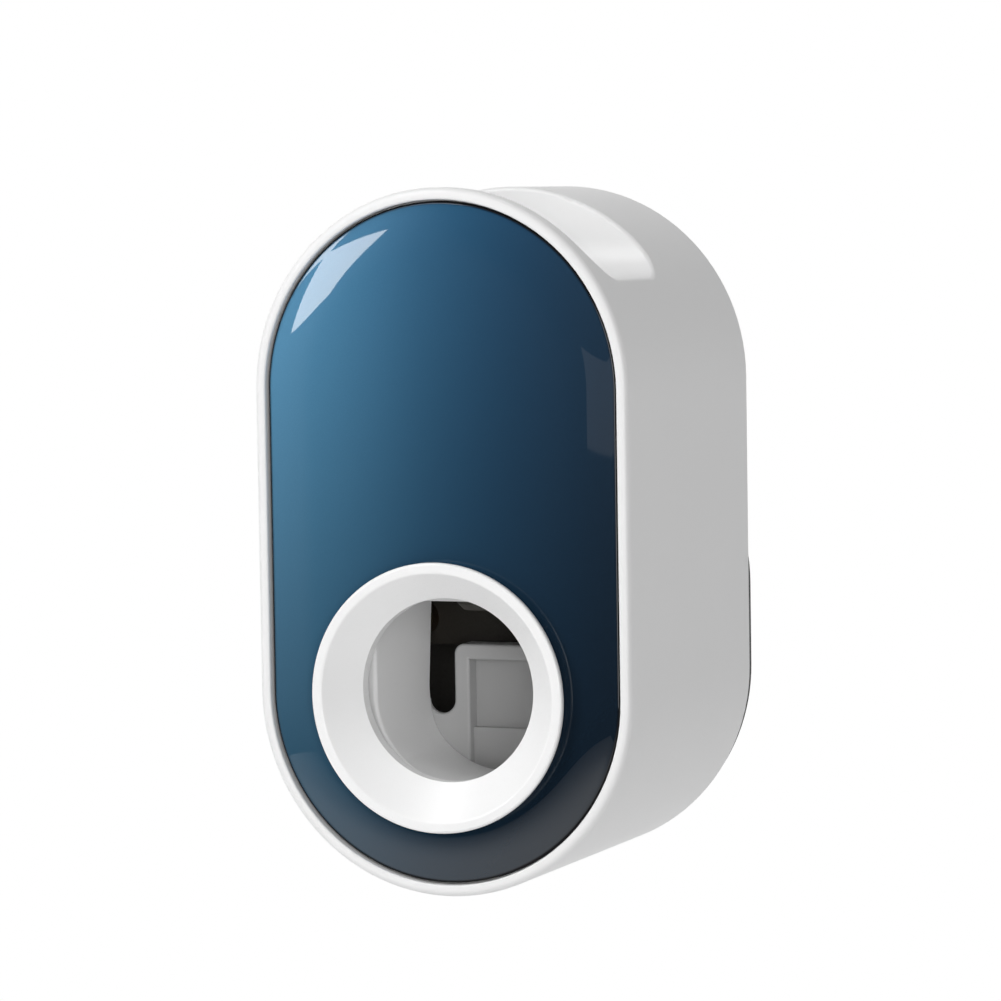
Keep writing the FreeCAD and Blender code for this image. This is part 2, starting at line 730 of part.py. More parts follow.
# Brush trough: the chamber, its screwed flange and two ears that hold the guide posts
flange_bits = [
    box("FlangeWide", ("-flange_x", "flange_x"), ("flange_front_y", "flange_rear_y"),
        ("ring_z - flange_half + flange_corner", "ring_z + flange_half - flange_corner")),
    box("FlangeTall", ("-flange_x + flange_corner", "flange_x - flange_corner"),
        ("flange_front_y", "flange_rear_y"), ("ring_z - flange_half", "ring_z + flange_half")),
]
flange_holes = []
for spot, x, z in flange_spots:
    corner_x = "flange_x - flange_corner"
    flange_bits.append(rod("FlangeCorner_" + spot, "y", "flange_corner",
                           f"-({corner_x})" if x.startswith("-") else corner_x, "flange_front_y",
                           f"ring_z {'+' if spot.endswith('top') else '-'} (flange_half - flange_corner)",
                           "flange_thickness"))
    flange_holes.append(rod("FlangePass_" + spot, "y", "screw_radius + pass_clearance", x,
                            "flange_front_y", z, "flange_thickness"))
ears = []
ear_holes = []
for side, sign in SIDES:
    ears.append(rod("Ear_" + side, "y", "ear_radius", f"{sign}post_x", "trough_rear_y - ear_length",
                    "post_z", "ear_length"))
    ear_holes.append(rod("EarSocket_" + side, "y", "post_radius + pilot_clearance", f"{sign}post_x",
                         "trough_rear_y - post_socket", "post_z", "post_socket"))
nozzle_hole = rod("NozzleHole", "z", "nozzle_neck + nozzle_clearance", "0", "feed_y", "roof_z",
                  "trough_wall")
trough_outside = trough_form("TroughOuter", "trough_wall", "trough_front_y", "trough_rear_y")
trough_inside = trough_form("TroughInner", "0", "trough_front_y", "trough_rear_y")
trough_blank = fuse("TroughBlank", trough_outside, *flange_bits, *ears)
trough_cut = cut("TroughCut", trough_blank, trough_inside, nozzle_hole, *flange_holes, *ear_holes)
node("brush_trough", rounded("BrushTrough", trough_cut, "trough_lip_round",
                             lambda edge: flat_at(edge, "Y", "trough_front_y")
                             and stays_within(edge, "trough_radius")
                             and not flat_at(edge, "Z", "roof_z")))
node("trough_screws", group("TroughScrews", *[
    screw("TroughScrew_" + spot, x, "flange_rear_y", z, "flange_thickness + flange_boss + web_bite")
    for spot, x, z in flange_spots]))

# Guide posts: steel pins from the trough's ears to the rear cover
node("guide_posts", group("GuidePosts", *[
    rod("GuidePost_" + side, "y", "post_radius", f"{sign}post_x", "trough_rear_y - post_socket", "post_z",
        "cover_front_y + post_cover_socket - trough_rear_y + post_socket") for side, sign in SIDES]))
node("return_springs", group("ReturnSprings", *[
    coil("ReturnSpring_" + side, "spring_radius", "spring_wire", "cover_front_y - carriage_rear_y",
         "spring_turns", "y", f"{sign}post_x", "carriage_rear_y", "post_z") for side, sign in SIDES]))

# Push plate: round plate behind the trough with a framed tongue, two open slots and two stems
plate_disc = rod("PlateDisc", "y", "push_radius", "0", "push_front_y", "trough_z", "push_thickness")
plate_cuts = [
    box("PlateTop", ("-push_radius", "push_radius"), ("push_front_y", "push_rear_y"),
        ("ring_z + tongue_top", "ring_z + push_radius")),
    box("RecessHigh", ("-recess_half", "recess_half"), ("push_front_y", "push_front_y + recess_depth"),
        ("ring_z - recess_step", "ring_z + recess_top")),
    box("RecessLow", ("-recess_half", "recess_half"), ("push_front_y", "push_front_y + recess_low_depth"),
        ("trough_z - push_radius", "ring_z - recess_step")),
]
stems = []
stem_holes = []
for side, sign in SIDES:
    outside = ("tongue_half", "push_radius") if side == "right" else ("-push_radius", "-tongue_half")
    plate_cuts.append(box("SlotSide_" + side, outside, ("push_front_y", "push_rear_y"),
                          ("ring_z - slot_bottom + slot_round", "ring_z + push_radius")))
    plate_cuts.append(rod("SlotEnd_" + side, "y", "slot_round", f"{sign}(tongue_half + slot_round)",
                          "push_front_y", "ring_z - slot_bottom + slot_round", "push_thickness"))
    plate_cuts.append(rod("SlotRelief_" + side, "y", "slot_round + slot_relief",
                          f"{sign}(tongue_half + slot_round + slot_relief_set)", "push_front_y + slot_skin",
                          "ring_z - slot_bottom + slot_round", "push_thickness - slot_skin"))
    stems.append(rod("Stem_" + side, "y", "stem_radius", f"{sign}stem_spread", "push_rear_y", "ring_z",
                     "stem_length"))
    stem_holes.append(rod("StemPilot_" + side, "y", "screw_radius + pilot_clearance", f"{sign}stem_spread",
                          "carriage_front_y - screw_bite - screw_tip_gap", "ring_z",
                          "screw_bite + screw_tip_gap"))
plate_cut = cut("PlateCut", plate_disc, *plate_cuts)
plate_corners = rounded("PlateCorners", plate_cut, "tongue_round",
                        lambda edge: flat_at(edge, "Z", "ring_z + tongue_top")
                        and near(abs(edge.BoundBox.Center.x), "tongue_half"))
plate_faced = rounded("PlateFaced", plate_corners, "push_edge_round",
                      lambda edge: flat_at(edge, "Y", "push_front_y")
                      and edge.BoundBox.ZMax > value("ring_z - slot_bottom") + SLACK)
node("push_plate", cut("PushPlate", fuse("PlateStemmed", plate_faced, *stems), *stem_holes))

# Carriage: cross-shaped slide that ties the push plate's stems to the piston rod
cross_x = "post_x + bush_radius + carriage_margin"
carriage_blank = fuse(
    "CarriageBlank",
    box("CarriageSpine", ("-carriage_half", "carriage_half"), ("carriage_front_y", "carriage_rear_y"),
        ("ring_z - carriage_foot", "pump_z + rod_radius + carriage_margin")),
    box("CarriageCross", (f"-({cross_x})", cross_x), ("carriage_front_y", "carriage_rear_y"),
        ("post_z - bush_radius - carriage_margin", "post_z + bush_radius + carriage_margin")))
carriage_holes = [rod("RodPass", "y", "screw_radius + pass_clearance", "0", "carriage_front_y", "pump_z",
                      "carriage_thickness")]
for side, sign in SIDES:
    carriage_holes.append(rod("BushSeat_" + side, "y", "bush_radius", f"{sign}post_x", "carriage_front_y",
                              "post_z", "carriage_thickness"))
    carriage_holes.append(rod("StemPass_" + side, "y", "screw_radius + pass_clearance",
                              f"{sign}stem_spread", "carriage_front_y", "ring_z", "carriage_thickness"))
node("carriage", cut("Carriage", carriage_blank, *carriage_holes))
node("guide_bushes", group("GuideBushes", *[
    ring_of("GuideBush_" + side, "y", "post_radius + running_clearance", "bush_radius", f"{sign}post_x",
            "carriage_front_y - bush_reach", "post_z", "carriage_thickness + bush_reach")
    for side, sign in SIDES]))
node("plate_screws", group("PlateScrews", *[
    screw("PlateScrew_" + side, f"{sign}stem_spread", "carriage_rear_y", "ring_z",
          "carriage_thickness + screw_bite") for side, sign in SIDES]))

# Piston with its rod, its sealing ring and the screw that holds the rod to the carriage
place("piston_radius", "bore_radius - piston_clearance")
place("groove_start", "(piston_length - groove_width) / 2")
place("rod_end", "carriage_front_y - piston_front_y")
piston_blank = turned("PistonBlank", "y", "0", "piston_front_y", "pump_z", [
    ("0", "0"),
    ("piston_radius", "0"),
    ("piston_radius", "groove_start"),
    ("piston_radius - groove_depth", "groove_start"),
    ("piston_radius - groove_depth", "groove_start + groove_width"),
    ("piston_radius", "groove_start + groove_width"),
    ("piston_radius", "piston_length"),
    ("rod_radius", "piston_length"),
    ("rod_radius", "rod_end"),
    ("0", "rod_end"),
])
rod_pilot = rod("RodPilot", "y", "screw_radius + pilot_clearance", "0",
                "carriage_front_y - screw_bite - screw_tip_gap", "pump_z", "screw_bite + screw_tip_gap")
node("piston", cut("Piston", piston_blank, rod_pilot))
node("piston_seal", ring_of("PistonSeal", "y", "piston_radius - groove_depth",
                            "bore_radius - piston_seal_clearance", "0",
                            "piston_front_y + groove_start + seal_side_gap", "pump_z",
                            "groove_width - 2 * seal_side_gap"))
node("rod_screw", screw("RodScrew", "0", "carriage_rear_y", "pump_z", "carriage_thickness + screw_bite"))

# Pump body: barrel along Y, inlet tower up to the saddle, outlet boss below and two lugs
tower_radius = "collar_radius + collar_clearance + tower_wall"
pump_blank = fuse(
    "PumpBlank",
    rod("Barrel", "y", "barrel_radius", "0", "barrel_front_y", "pump_z", "barrel_rear_y - barrel_front_y"),
    rod("TowerNeck", "z", "port_radius + tower_step", "0", "feed_y", "pump_z", "tower_base_z - pump_z"),
    rod("Tower", "z", tower_radius, "0", "feed_y", "tower_base_z", "tower_top_z - tower_base_z"),
    rod("OutletBoss", "z", "outlet_radius", "0", "feed_y", "outlet_z", "pump_z - outlet_z"),
    box("Lugs", ("-(lug_spread + lug_half)", "lug_spread + lug_half"), ("barrel_front_y", "lug_rear_y"),
        ("pump_z - lug_half", "pump_z + lug_half")))
pump_holes = [
    rod("Bore", "y", "bore_radius", "0", "barrel_front_y", "pump_z", "barrel_rear_y - barrel_front_y"),
    rod("CollarSocket", "z", "collar_radius + collar_clearance", "0", "feed_y", "seat_bottom_z",
        "tower_top_z - seat_bottom_z"),
    rod("InletPort", "z", "port_radius", "0", "feed_y", "pump_z", "seat_bottom_z - pump_z"),
    rod("OutletPort", "z", "outlet_bore", "0", "feed_y", "outlet_z", "pump_z - outlet_z"),
]
cap_holes = []
for side, sign in SIDES:
    pump_holes.append(rod("LugPass_" + side, "y", "screw_radius + pass_clearance", f"{sign}lug_spread",
                          "barrel_front_y", "pump_z", "lug_thickness"))
    cap_holes.append(rod("CapPass_" + side, "y", "screw_radius + pass_clearance", f"{sign}lug_spread",
                         "cap_front_y", "pump_z", "cap_thickness"))
node("pump_body", cut("PumpBody", pump_blank, *pump_holes))

# Pump cap: plug with a sealing ring in the front of the barrel, and lugs under the same screws
place("plug_radius", "bore_radius - ring_clearance")
place("plug_groove", "cap_thickness + (plug_length - groove_width) / 2")
cap_plug = turned("CapPlug", "y", "0", "cap_front_y", "pump_z", [
    ("0", "0"),
    ("barrel_radius", "0"),
    ("barrel_radius", "cap_thickness"),
    ("plug_radius", "cap_thickness"),
    ("plug_radius", "plug_groove"),
    ("plug_radius - groove_depth", "plug_groove"),
    ("plug_radius - groove_depth", "plug_groove + groove_width"),
    ("plug_radius", "plug_groove + groove_width"),
    ("plug_radius", "cap_thickness + plug_length"),
    ("0", "cap_thickness + plug_length"),
])
cap_lugs = box("CapLugs", ("-(lug_spread + lug_half)", "lug_spread + lug_half"),
               ("cap_front_y", "barrel_front_y"), ("pump_z - lug_half", "pump_z + lug_half"))
node("pump_cap", cut("PumpCap", fuse("CapBlank", cap_plug, cap_lugs), *cap_holes))
node("cap_seal", ring_of("CapSeal", "y", "plug_radius - groove_depth", "bore_radius", "0",
                         "cap_front_y + plug_groove + seal_side_gap", "pump_z",
                         "groove_width - 2 * seal_side_gap"))
node("pump_screws", group("PumpScrews", *[
    screw("PumpScrew_" + side, f"{sign}lug_spread", "lug_rear_y", "pump_z",
          "lug_rear_y - web_rear_y + web_bite") for side, sign in SIDES]))

# Tube collar: soft sleeve through the saddle floor that grips the neck of the tube
place("collar_top", "collar_depth + collar_flange_thickness")
place("grip_top", "collar_top - collar_lead_depth")
node("tube_collar", turned("TubeCollar", "z", "0", "feed_y", "seat_top_z", [
    ("collar_bore + collar_relief", "0"),
    ("collar_radius", "0"),
    ("collar_radius", "collar_depth"),
    ("collar_flange", "collar_depth"),
    ("collar_flange", "collar_top"),
    ("collar_bore + collar_lead", "collar_top"),
    ("collar_bore", "grip_top"),
    ("collar_bore", "grip_top - collar_grip"),
    ("collar_bore + collar_relief", "grip_top - collar_grip"),
]))

# Inlet valve: seat disc with flow holes, poppet below it, and a spring and clip on the poppet's stem
seat_disc = rod("SeatDisc", "z", "collar_radius", "0", "feed_y", "seat_bottom_z", "seat_thickness")
seat_holes = [rod("StemGuide", "z", "poppet_stem + stem_clearance", "0", "feed_y", "seat_bottom_z",
                  "seat_thickness")]
for quarter, (along, across) in enumerate(((1, 0), (0, 1), (-1, 0), (0, -1))):
    seat_holes.append(rod(f"FlowHole_{quarter}", "z", "flow_radius", f"{along} * flow_circle",
                          f"feed_y + {across} * flow_circle", "seat_bottom_z", "seat_thickness"))
node("valve_seat", cut("ValveSeat", seat_disc, *seat_holes))
place("poppet_low_z", "seat_bottom_z - valve_gap - poppet_thickness")
place("clip_z", "seat_top_z + valve_spring_length")
place("stem_top", "clip_z + clip_thickness - poppet_low_z")
node("inlet_poppet", turned("InletPoppet", "z", "0", "feed_y", "poppet_low_z", [
    ("0", "0"),
    ("poppet_radius - poppet_rim", "0"),
    ("poppet_radius", "poppet_thickness - poppet_rim"),
    ("poppet_radius", "poppet_thickness"),
    ("poppet_stem", "poppet_thickness"),
    ("poppet_stem", "stem_top"),
    ("0", "stem_top"),
]))
node("poppet_clip", ring_of("PoppetClip", "z", "poppet_stem + pilot_clearance", "clip_radius", "0",
                            "feed_y", "clip_z", "clip_thickness"))
node("valve_spring", coil("ValveSpring", "valve_spring_radius", "valve_spring_wire", "valve_spring_length",
                          "valve_spring_turns", "z", "0", "feed_y", "seat_top_z"))

# Outlet nozzle: soft sleeve from the pump's outlet boss through the roof of the trough
place("nozzle_shoulder", "roof_top_z - nozzle_tip_z")
place("nozzle_cup", "outlet_z - nozzle_tip_z")
node("outlet_nozzle", turned("OutletNozzle", "z", "0", "feed_y", "nozzle_tip_z", [
    ("nozzle_slit", "0"),
    ("nozzle_tip", "0"),
    ("nozzle_neck", "nozzle_chamfer"),
    ("nozzle_neck", "nozzle_shoulder"),
    ("nozzle_body", "nozzle_shoulder"),
    ("nozzle_body", "nozzle_cup + nozzle_grip"),
    ("outlet_radius + pilot_clearance", "nozzle_cup + nozzle_grip"),
    ("outlet_radius + pilot_clearance", "nozzle_cup"),
    ("outlet_bore", "nozzle_cup"),
    ("outlet_bore", "nozzle_chamfer"),
    ("nozzle_slit", "nozzle_chamfer"),
]))

doc.recompute()
for item in doc.Objects:
    if "Invalid" in item.State or "Error" in item.State:
        raise RuntimeError(f"{item.Name} did not build: {item.State}")
for item in parts:
    if item.Shape.isNull() or not item.Shape.isValid():
        raise RuntimeError(f"{item.Label} has no valid shape")

os.makedirs("parts", exist_ok=True)
for item in parts:
    item.Shape.exportStep(f"parts/{item.Label}.step")
    print(f"{item.Label}: {len(item.Shape.Solids)} solid(s), {item.Shape.Volume:.1f} mm3")
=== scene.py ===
import bmesh
import bpy
import math
from mathutils import Matrix, Vector


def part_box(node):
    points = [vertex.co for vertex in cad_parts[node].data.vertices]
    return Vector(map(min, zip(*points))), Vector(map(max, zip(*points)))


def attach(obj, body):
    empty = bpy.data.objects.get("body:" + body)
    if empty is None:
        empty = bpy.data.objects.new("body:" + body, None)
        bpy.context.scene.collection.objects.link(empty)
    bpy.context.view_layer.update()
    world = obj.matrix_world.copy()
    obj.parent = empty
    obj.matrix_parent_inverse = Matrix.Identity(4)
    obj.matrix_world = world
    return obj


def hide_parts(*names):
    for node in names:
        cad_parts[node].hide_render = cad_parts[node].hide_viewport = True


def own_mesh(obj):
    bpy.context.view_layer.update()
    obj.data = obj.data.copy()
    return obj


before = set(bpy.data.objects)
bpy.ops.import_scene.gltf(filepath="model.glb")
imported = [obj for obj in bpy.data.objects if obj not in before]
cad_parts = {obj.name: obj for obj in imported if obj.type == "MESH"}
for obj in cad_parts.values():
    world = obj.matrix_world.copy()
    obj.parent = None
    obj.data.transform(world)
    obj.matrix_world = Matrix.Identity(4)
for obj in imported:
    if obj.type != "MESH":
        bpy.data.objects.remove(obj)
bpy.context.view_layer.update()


# Adhesive pad: a die-cut sheet of grey closed-cell foam tape between the wall and the wall plate.
# It is soft and matt, with fine open cells on its cut edge.
def shader_node(tree, kind, **inputs):
    """A new shader node, with numbers or colours set on its named inputs."""
    made = tree.nodes.new("ShaderNode" + kind)
    for name, number in inputs.items():
        made.inputs[name.replace("_", " ").title()].default_value = number
    return made


def effect_group(name, inputs, outputs):
    """An empty node group with named sockets, and its input and output nodes."""
    tree = bpy.data.node_groups.new(name, "ShaderNodeTree")
    for label, kind, number in inputs:
        socket = tree.interface.new_socket(label, in_out="INPUT", socket_type="NodeSocket" + kind)
        socket.default_value = number
    for label, kind in outputs:
        tree.interface.new_socket(label, in_out="OUTPUT", socket_type="NodeSocket" + kind)
    return tree, tree.nodes.new("NodeGroupInput"), tree.nodes.new("NodeGroupOutput")


foam_cells, cells_in, cells_out = effect_group(
    "foam_cells",
    [("Wall Colour", "Color", (0.3, 0.3, 0.3, 1)), ("Cell Colour", "Color", (0.1, 0.1, 0.1, 1)),
     ("Cell Scale", "Float", 1500.0)],
    [("Colour", "Color"), ("Height", "Float")])
cells_place = shader_node(foam_cells, "TexCoord")
cells_pattern = shader_node(foam_cells, "TexVoronoi")
cells_edge = shader_node(foam_cells, "MapRange", From_Min=0.15, From_Max=0.6)
cells_mix = shader_node(foam_cells, "MixRGB")
foam_cells.links.new(cells_place.outputs["Object"], cells_pattern.inputs["Vector"])
foam_cells.links.new(cells_in.outputs["Cell Scale"], cells_pattern.inputs["Scale"])
foam_cells.links.new(cells_pattern.outputs["Distance"], cells_edge.inputs["Value"])
foam_cells.links.new(cells_edge.outputs["Result"], cells_mix.inputs["Fac"])
foam_cells.links.new(cells_in.outputs["Cell Colour"], cells_mix.inputs["Color1"])
foam_cells.links.new(cells_in.outputs["Wall Colour"], cells_mix.inputs["Color2"])
foam_cells.links.new(cells_mix.outputs["Color"], cells_out.inputs["Colour"])
foam_cells.links.new(cells_edge.outputs["Result"], cells_out.inputs["Height"])


def effect_material(name, effect, relief, plain=None, **inputs):
    """A material with one effect group's colour, gloss and relief, and plain numbers on other sockets."""
    material = bpy.data.materials.new(name)
    material.use_nodes = True
    tree = material.node_tree
    shader = tree.nodes["Principled BSDF"]
    group = tree.nodes.new("ShaderNodeGroup")
    group.node_tree = effect
    for label, number in inputs.items():
        group.inputs[label.replace("_", " ").title()].default_value = number
    for label, number in (plain or {}).items():
        shader.inputs[label].default_value = number
    tree.links.new(group.outputs["Colour"], shader.inputs["Base Color"])
    if "Roughness" in group.outputs:
        tree.links.new(group.outputs["Roughness"], shader.inputs["Roughness"])
    bump = shader_node(tree, "Bump", Distance=relief)
    tree.links.new(group.outputs["Height"], bump.inputs["Height"])
    tree.links.new(bump.outputs["Normal"], shader.inputs["Normal"])
    return material


def finish_node(name, material):
    """Gives a CAD node its finish."""
    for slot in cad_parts[name].material_slots:
        slot.material = material


grey_foam = effect_material(
    "grey_foam", foam_cells, relief=0.0002, plain={"Roughness": 0.9},
    wall_colour=(0.17, 0.17, 0.18, 1), cell_colour=(0.09, 0.09, 0.095, 1), cell_scale=2200.0)
finish_node("adhesive_pad", grey_foam)


# Wall plate: charcoal ABS moulding with two upturned hooks, spark-textured to hide scratches.
# It stays on the wall, and its charcoal colour also stands in for the wall's shadow: painted shade that
# shows as a thin dark line behind the white case.
moulded_skin, skin_in, skin_out = effect_group(
    "moulded_skin",
    [("Colour", "Color", (0.8, 0.8, 0.8, 1)), ("Flow Colour", "Color", (0.7, 0.7, 0.7, 1)),
     ("Flow Scale", "Float", 25.0), ("Grain Scale", "Float", 2500.0),
     ("Least Roughness", "Float", 0.3), ("Most Roughness", "Float", 0.5)],
    [("Colour", "Color"), ("Roughness", "Float"), ("Height", "Float")])
skin_place = shader_node(moulded_skin, "TexCoord")
skin_flow = shader_node(moulded_skin, "TexNoise", Detail=3.0, Roughness=0.55)
skin_grain = shader_node(moulded_skin, "TexNoise", Detail=2.0, Roughness=0.5)
skin_mix = shader_node(moulded_skin, "MixRGB")
skin_gloss = shader_node(moulded_skin, "MapRange", From_Min=0.3, From_Max=0.7)
for pattern, scale in ((skin_flow, "Flow Scale"), (skin_grain, "Grain Scale")):
    moulded_skin.links.new(skin_place.outputs["Object"], pattern.inputs["Vector"])
    moulded_skin.links.new(skin_in.outputs[scale], pattern.inputs["Scale"])
moulded_skin.links.new(skin_flow.outputs["Fac"], skin_mix.inputs["Fac"])
moulded_skin.links.new(skin_in.outputs["Colour"], skin_mix.inputs["Color1"])
moulded_skin.links.new(skin_in.outputs["Flow Colour"], skin_mix.inputs["Color2"])
moulded_skin.links.new(skin_grain.outputs["Fac"], skin_gloss.inputs["Value"])
moulded_skin.links.new(skin_in.outputs["Least Roughness"], skin_gloss.inputs["To Min"])
moulded_skin.links.new(skin_in.outputs["Most Roughness"], skin_gloss.inputs["To Max"])
moulded_skin.links.new(skin_mix.outputs["Color"], skin_out.inputs["Colour"])
moulded_skin.links.new(skin_gloss.outputs["Result"], skin_out.inputs["Roughness"])
moulded_skin.links.new(skin_grain.outputs["Fac"], skin_out.inputs["Height"])

# Charcoal plastic whose dark colour is also painted shade, for the shadow at the wall behind the case.
charcoal_plastic_wall_shade = effect_material(
    "charcoal_plastic_wall_shade", moulded_skin, relief=0.00006,
    colour=(0.022, 0.022, 0.025, 1), flow_colour=(0.03, 0.03, 0.033, 1), grain_scale=1800.0,
    least_roughness=0.5, most_roughness=0.75)
finish_node("wall_plate", charcoal_plastic_wall_shade)


# Housing shell: the white ABS case, moulded in one with its rim, web, saddle and screw bosses.
# A satin skin with very fine grain, slightly cloudy where the melt met.
white_case = effect_material(
    "white_case", moulded_skin, relief=0.000004,
    colour=(0.87, 0.87, 0.87, 1), flow_colour=(0.85, 0.85, 0.852, 1), flow_scale=30.0, grain_scale=2600.0,
    least_roughness=0.32, most_roughness=0.46)
finish_node("housing_shell", white_case)


# Rear cover: dark grey ABS plate inside the back of the case, with a coarser texture than the case.
# Four plated screws hold it in the case's bosses.
rear_texture = effect_material(
    "rear_texture", moulded_skin, relief=0.00005,
    colour=(0.05, 0.046, 0.04, 1), flow_colour=(0.06, 0.056, 0.05, 1), grain_scale=1500.0,
    least_roughness=0.5, most_roughness=0.72)
finish_node("rear_cover", rear_texture)

worked_steel, steel_in, steel_out = effect_group(
    "worked_steel",
    [("Colour", "Color", (0.6, 0.6, 0.6, 1)), ("Stain Colour", "Color", (0.45, 0.44, 0.42, 1)),
     ("Streak", "Vector", (400.0, 4000.0, 400.0)), ("Least Roughness", "Float", 0.2),
     ("Most Roughness", "Float", 0.45)],
    [("Colour", "Color"), ("Roughness", "Float"), ("Height", "Float")])
steel_place = shader_node(worked_steel, "TexCoord")
steel_stretch = shader_node(worked_steel, "VectorMath")
steel_stretch.operation = "MULTIPLY"
steel_streaks = shader_node(worked_steel, "TexNoise", Scale=1.0, Detail=3.0)
steel_stains = shader_node(worked_steel, "TexNoise", Scale=350.0, Detail=2.0)
steel_mix = shader_node(worked_steel, "MixRGB")
steel_gloss = shader_node(worked_steel, "MapRange", From_Min=0.3, From_Max=0.7)
worked_steel.links.new(steel_place.outputs["Object"], steel_stretch.inputs[0])
worked_steel.links.new(steel_in.outputs["Streak"], steel_stretch.inputs[1])
worked_steel.links.new(steel_stretch.outputs["Vector"], steel_streaks.inputs["Vector"])
worked_steel.links.new(steel_place.outputs["Object"], steel_stains.inputs["Vector"])
worked_steel.links.new(steel_stains.outputs["Fac"], steel_mix.inputs["Fac"])
worked_steel.links.new(steel_in.outputs["Colour"], steel_mix.inputs["Color1"])
worked_steel.links.new(steel_in.outputs["Stain Colour"], steel_mix.inputs["Color2"])
worked_steel.links.new(steel_streaks.outputs["Fac"], steel_gloss.inputs["Value"])
worked_steel.links.new(steel_in.outputs["Least Roughness"], steel_gloss.inputs["To Min"])
worked_steel.links.new(steel_in.outputs["Most Roughness"], steel_gloss.inputs["To Max"])
worked_steel.links.new(steel_mix.outputs["Color"], steel_out.inputs["Colour"])
worked_steel.links.new(steel_gloss.outputs["Result"], steel_out.inputs["Roughness"])
worked_steel.links.new(steel_streaks.outputs["Fac"], steel_out.inputs["Height"])

plated_screw = effect_material(
    "plated_screw", worked_steel, relief=0.00001, plain={"Metallic": 1.0},
    colour=(0.6, 0.6, 0.62, 1), stain_colour=(0.5, 0.49, 0.46, 1), streak=(900.0, 5000.0, 900.0),
    least_roughness=0.22, most_roughness=0.4)
finish_node("cover_screws", plated_screw)


# Front panel: deep blue lacquered acrylic with a hard clear coat, crowned towards its cut edge. Its colour
# holds painted light:
#  lighter on the left and towards the top, darker to the right and the bottom, and painted shade, near
#  black, along the cut edge.
# It lies in the rim of the case on a frame of white foam tape, and the ring passes through it.
white_tape = effect_material(
    "white_tape", foam_cells, relief=0.0001, plain={"Roughness": 0.85},
    wall_colour=(0.7, 0.7, 0.7, 1), cell_colour=(0.5, 0.5, 0.5, 1), cell_scale=2500.0)
finish_node("panel_tape", white_tape)

panel_low, panel_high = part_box("front_panel")
panel_half = panel_high.x
panel_arc_z = panel_high.z - panel_half
panel_sides = 160
panel_hole = 0.02105
edge_round = 0.0006
edge_steps = 5
crown_width = 0.0088
crown_drop = 0.0012
crown_steps = 12

panel_mesh = bmesh.new()
facing = Matrix.Rotation(math.radians(90), 4, "X") @ Matrix.Rotation(math.pi / panel_sides, 4, "Z")
bmesh.ops.create_circle(panel_mesh, cap_ends=True, segments=panel_sides, radius=panel_half, matrix=facing)
for way in (1, -1):
    end = [vert for vert in panel_mesh.verts if vert.co.z * way > 0]
    bmesh.ops.translate(panel_mesh, verts=end, vec=(0, 0, way * panel_arc_z))
edge_level = panel_low.y + crown_drop + edge_round
bmesh.ops.translate(panel_mesh, verts=panel_mesh.verts[:], vec=(0, edge_level, 0))
front_face = panel_mesh.faces[:][0]


def step_in(width, rise):
    """Insets the panel's front face by a width, and lifts it."""
    bmesh.ops.inset_region(panel_mesh, faces=[front_face], thickness=width, depth=rise, use_even_offset=True,
                           use_boundary=True)


for step in range(edge_steps):
    start, stop = (math.radians(90) * k / edge_steps for k in (step, step + 1))
    step_in(edge_round * (math.cos(start) - math.cos(stop)), edge_round * (math.sin(stop) - math.sin(start)))
for step in range(crown_steps):
    start, stop = (1 - k / crown_steps for k in (step, step + 1))
    step_in(crown_width / crown_steps, crown_drop * (start ** 2 - stop ** 2))
inner_rim = front_face.edges[:]
bmesh.ops.delete(panel_mesh, geom=[front_face], context="FACES_ONLY")
hole_place = Matrix.Translation((0, panel_low.y, -panel_arc_z)) @ facing
hole_rim = bmesh.ops.create_circle(panel_mesh, segments=panel_sides, radius=panel_hole, matrix=hole_place)
hole_edges = list({edge for vert in hole_rim["verts"] for edge in vert.link_edges})
bmesh.ops.triangle_fill(panel_mesh, use_beauty=True, edges=inner_rim + hole_edges)
back_edges = []
for rim in ([edge for edge in panel_mesh.edges if edge.is_boundary and edge not in hole_edges],
            [edge for edge in hole_edges if edge.is_boundary]):
    grown = bmesh.ops.extrude_edge_only(panel_mesh, edges=rim)["geom"]
    for vert in grown:
        if isinstance(vert, bmesh.types.BMVert):
            vert.co.y = panel_high.y
    back_edges += [edge for edge in grown if isinstance(edge, bmesh.types.BMEdge) and edge.is_boundary]
bmesh.ops.triangle_fill(panel_mesh, use_beauty=True, edges=back_edges)
bmesh.ops.recalc_face_normals(panel_mesh, faces=panel_mesh.faces[:])


def piece_from(name, mesh, body, crease):
    """A smooth piece from a bmesh, sharp where it bends past the crease angle, and with no old normals."""
    data = bpy.data.meshes.new(name)
    mesh.to_mesh(data)
    mesh.free()
    carried_normals = data.attributes.get("custom_normal")
    if carried_normals:
        data.attributes.remove(carried_normals)
    data.polygons.foreach_set("use_smooth", [True] * len(data.polygons))
    data.set_sharp_from_angle(angle=math.radians(crease))
    piece = bpy.data.objects.new(name, data)
    bpy.context.scene.collection.objects.link(piece)
    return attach(piece, body)


crowned_panel = piece_from("crowned_panel", panel_mesh, "dispenser", crease=35)
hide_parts("front_panel")


def math_node(tree, operation, first, second):
    """The result of one sum on an output and a number, or on two outputs."""
    step = shader_node(tree, "Math")
    step.operation = operation
    tree.links.new(first, step.inputs[0])
    if isinstance(second, float):
        step.inputs[1].default_value = second
    else:
        tree.links.new(second, step.inputs[1])
    return step.outputs["Value"]
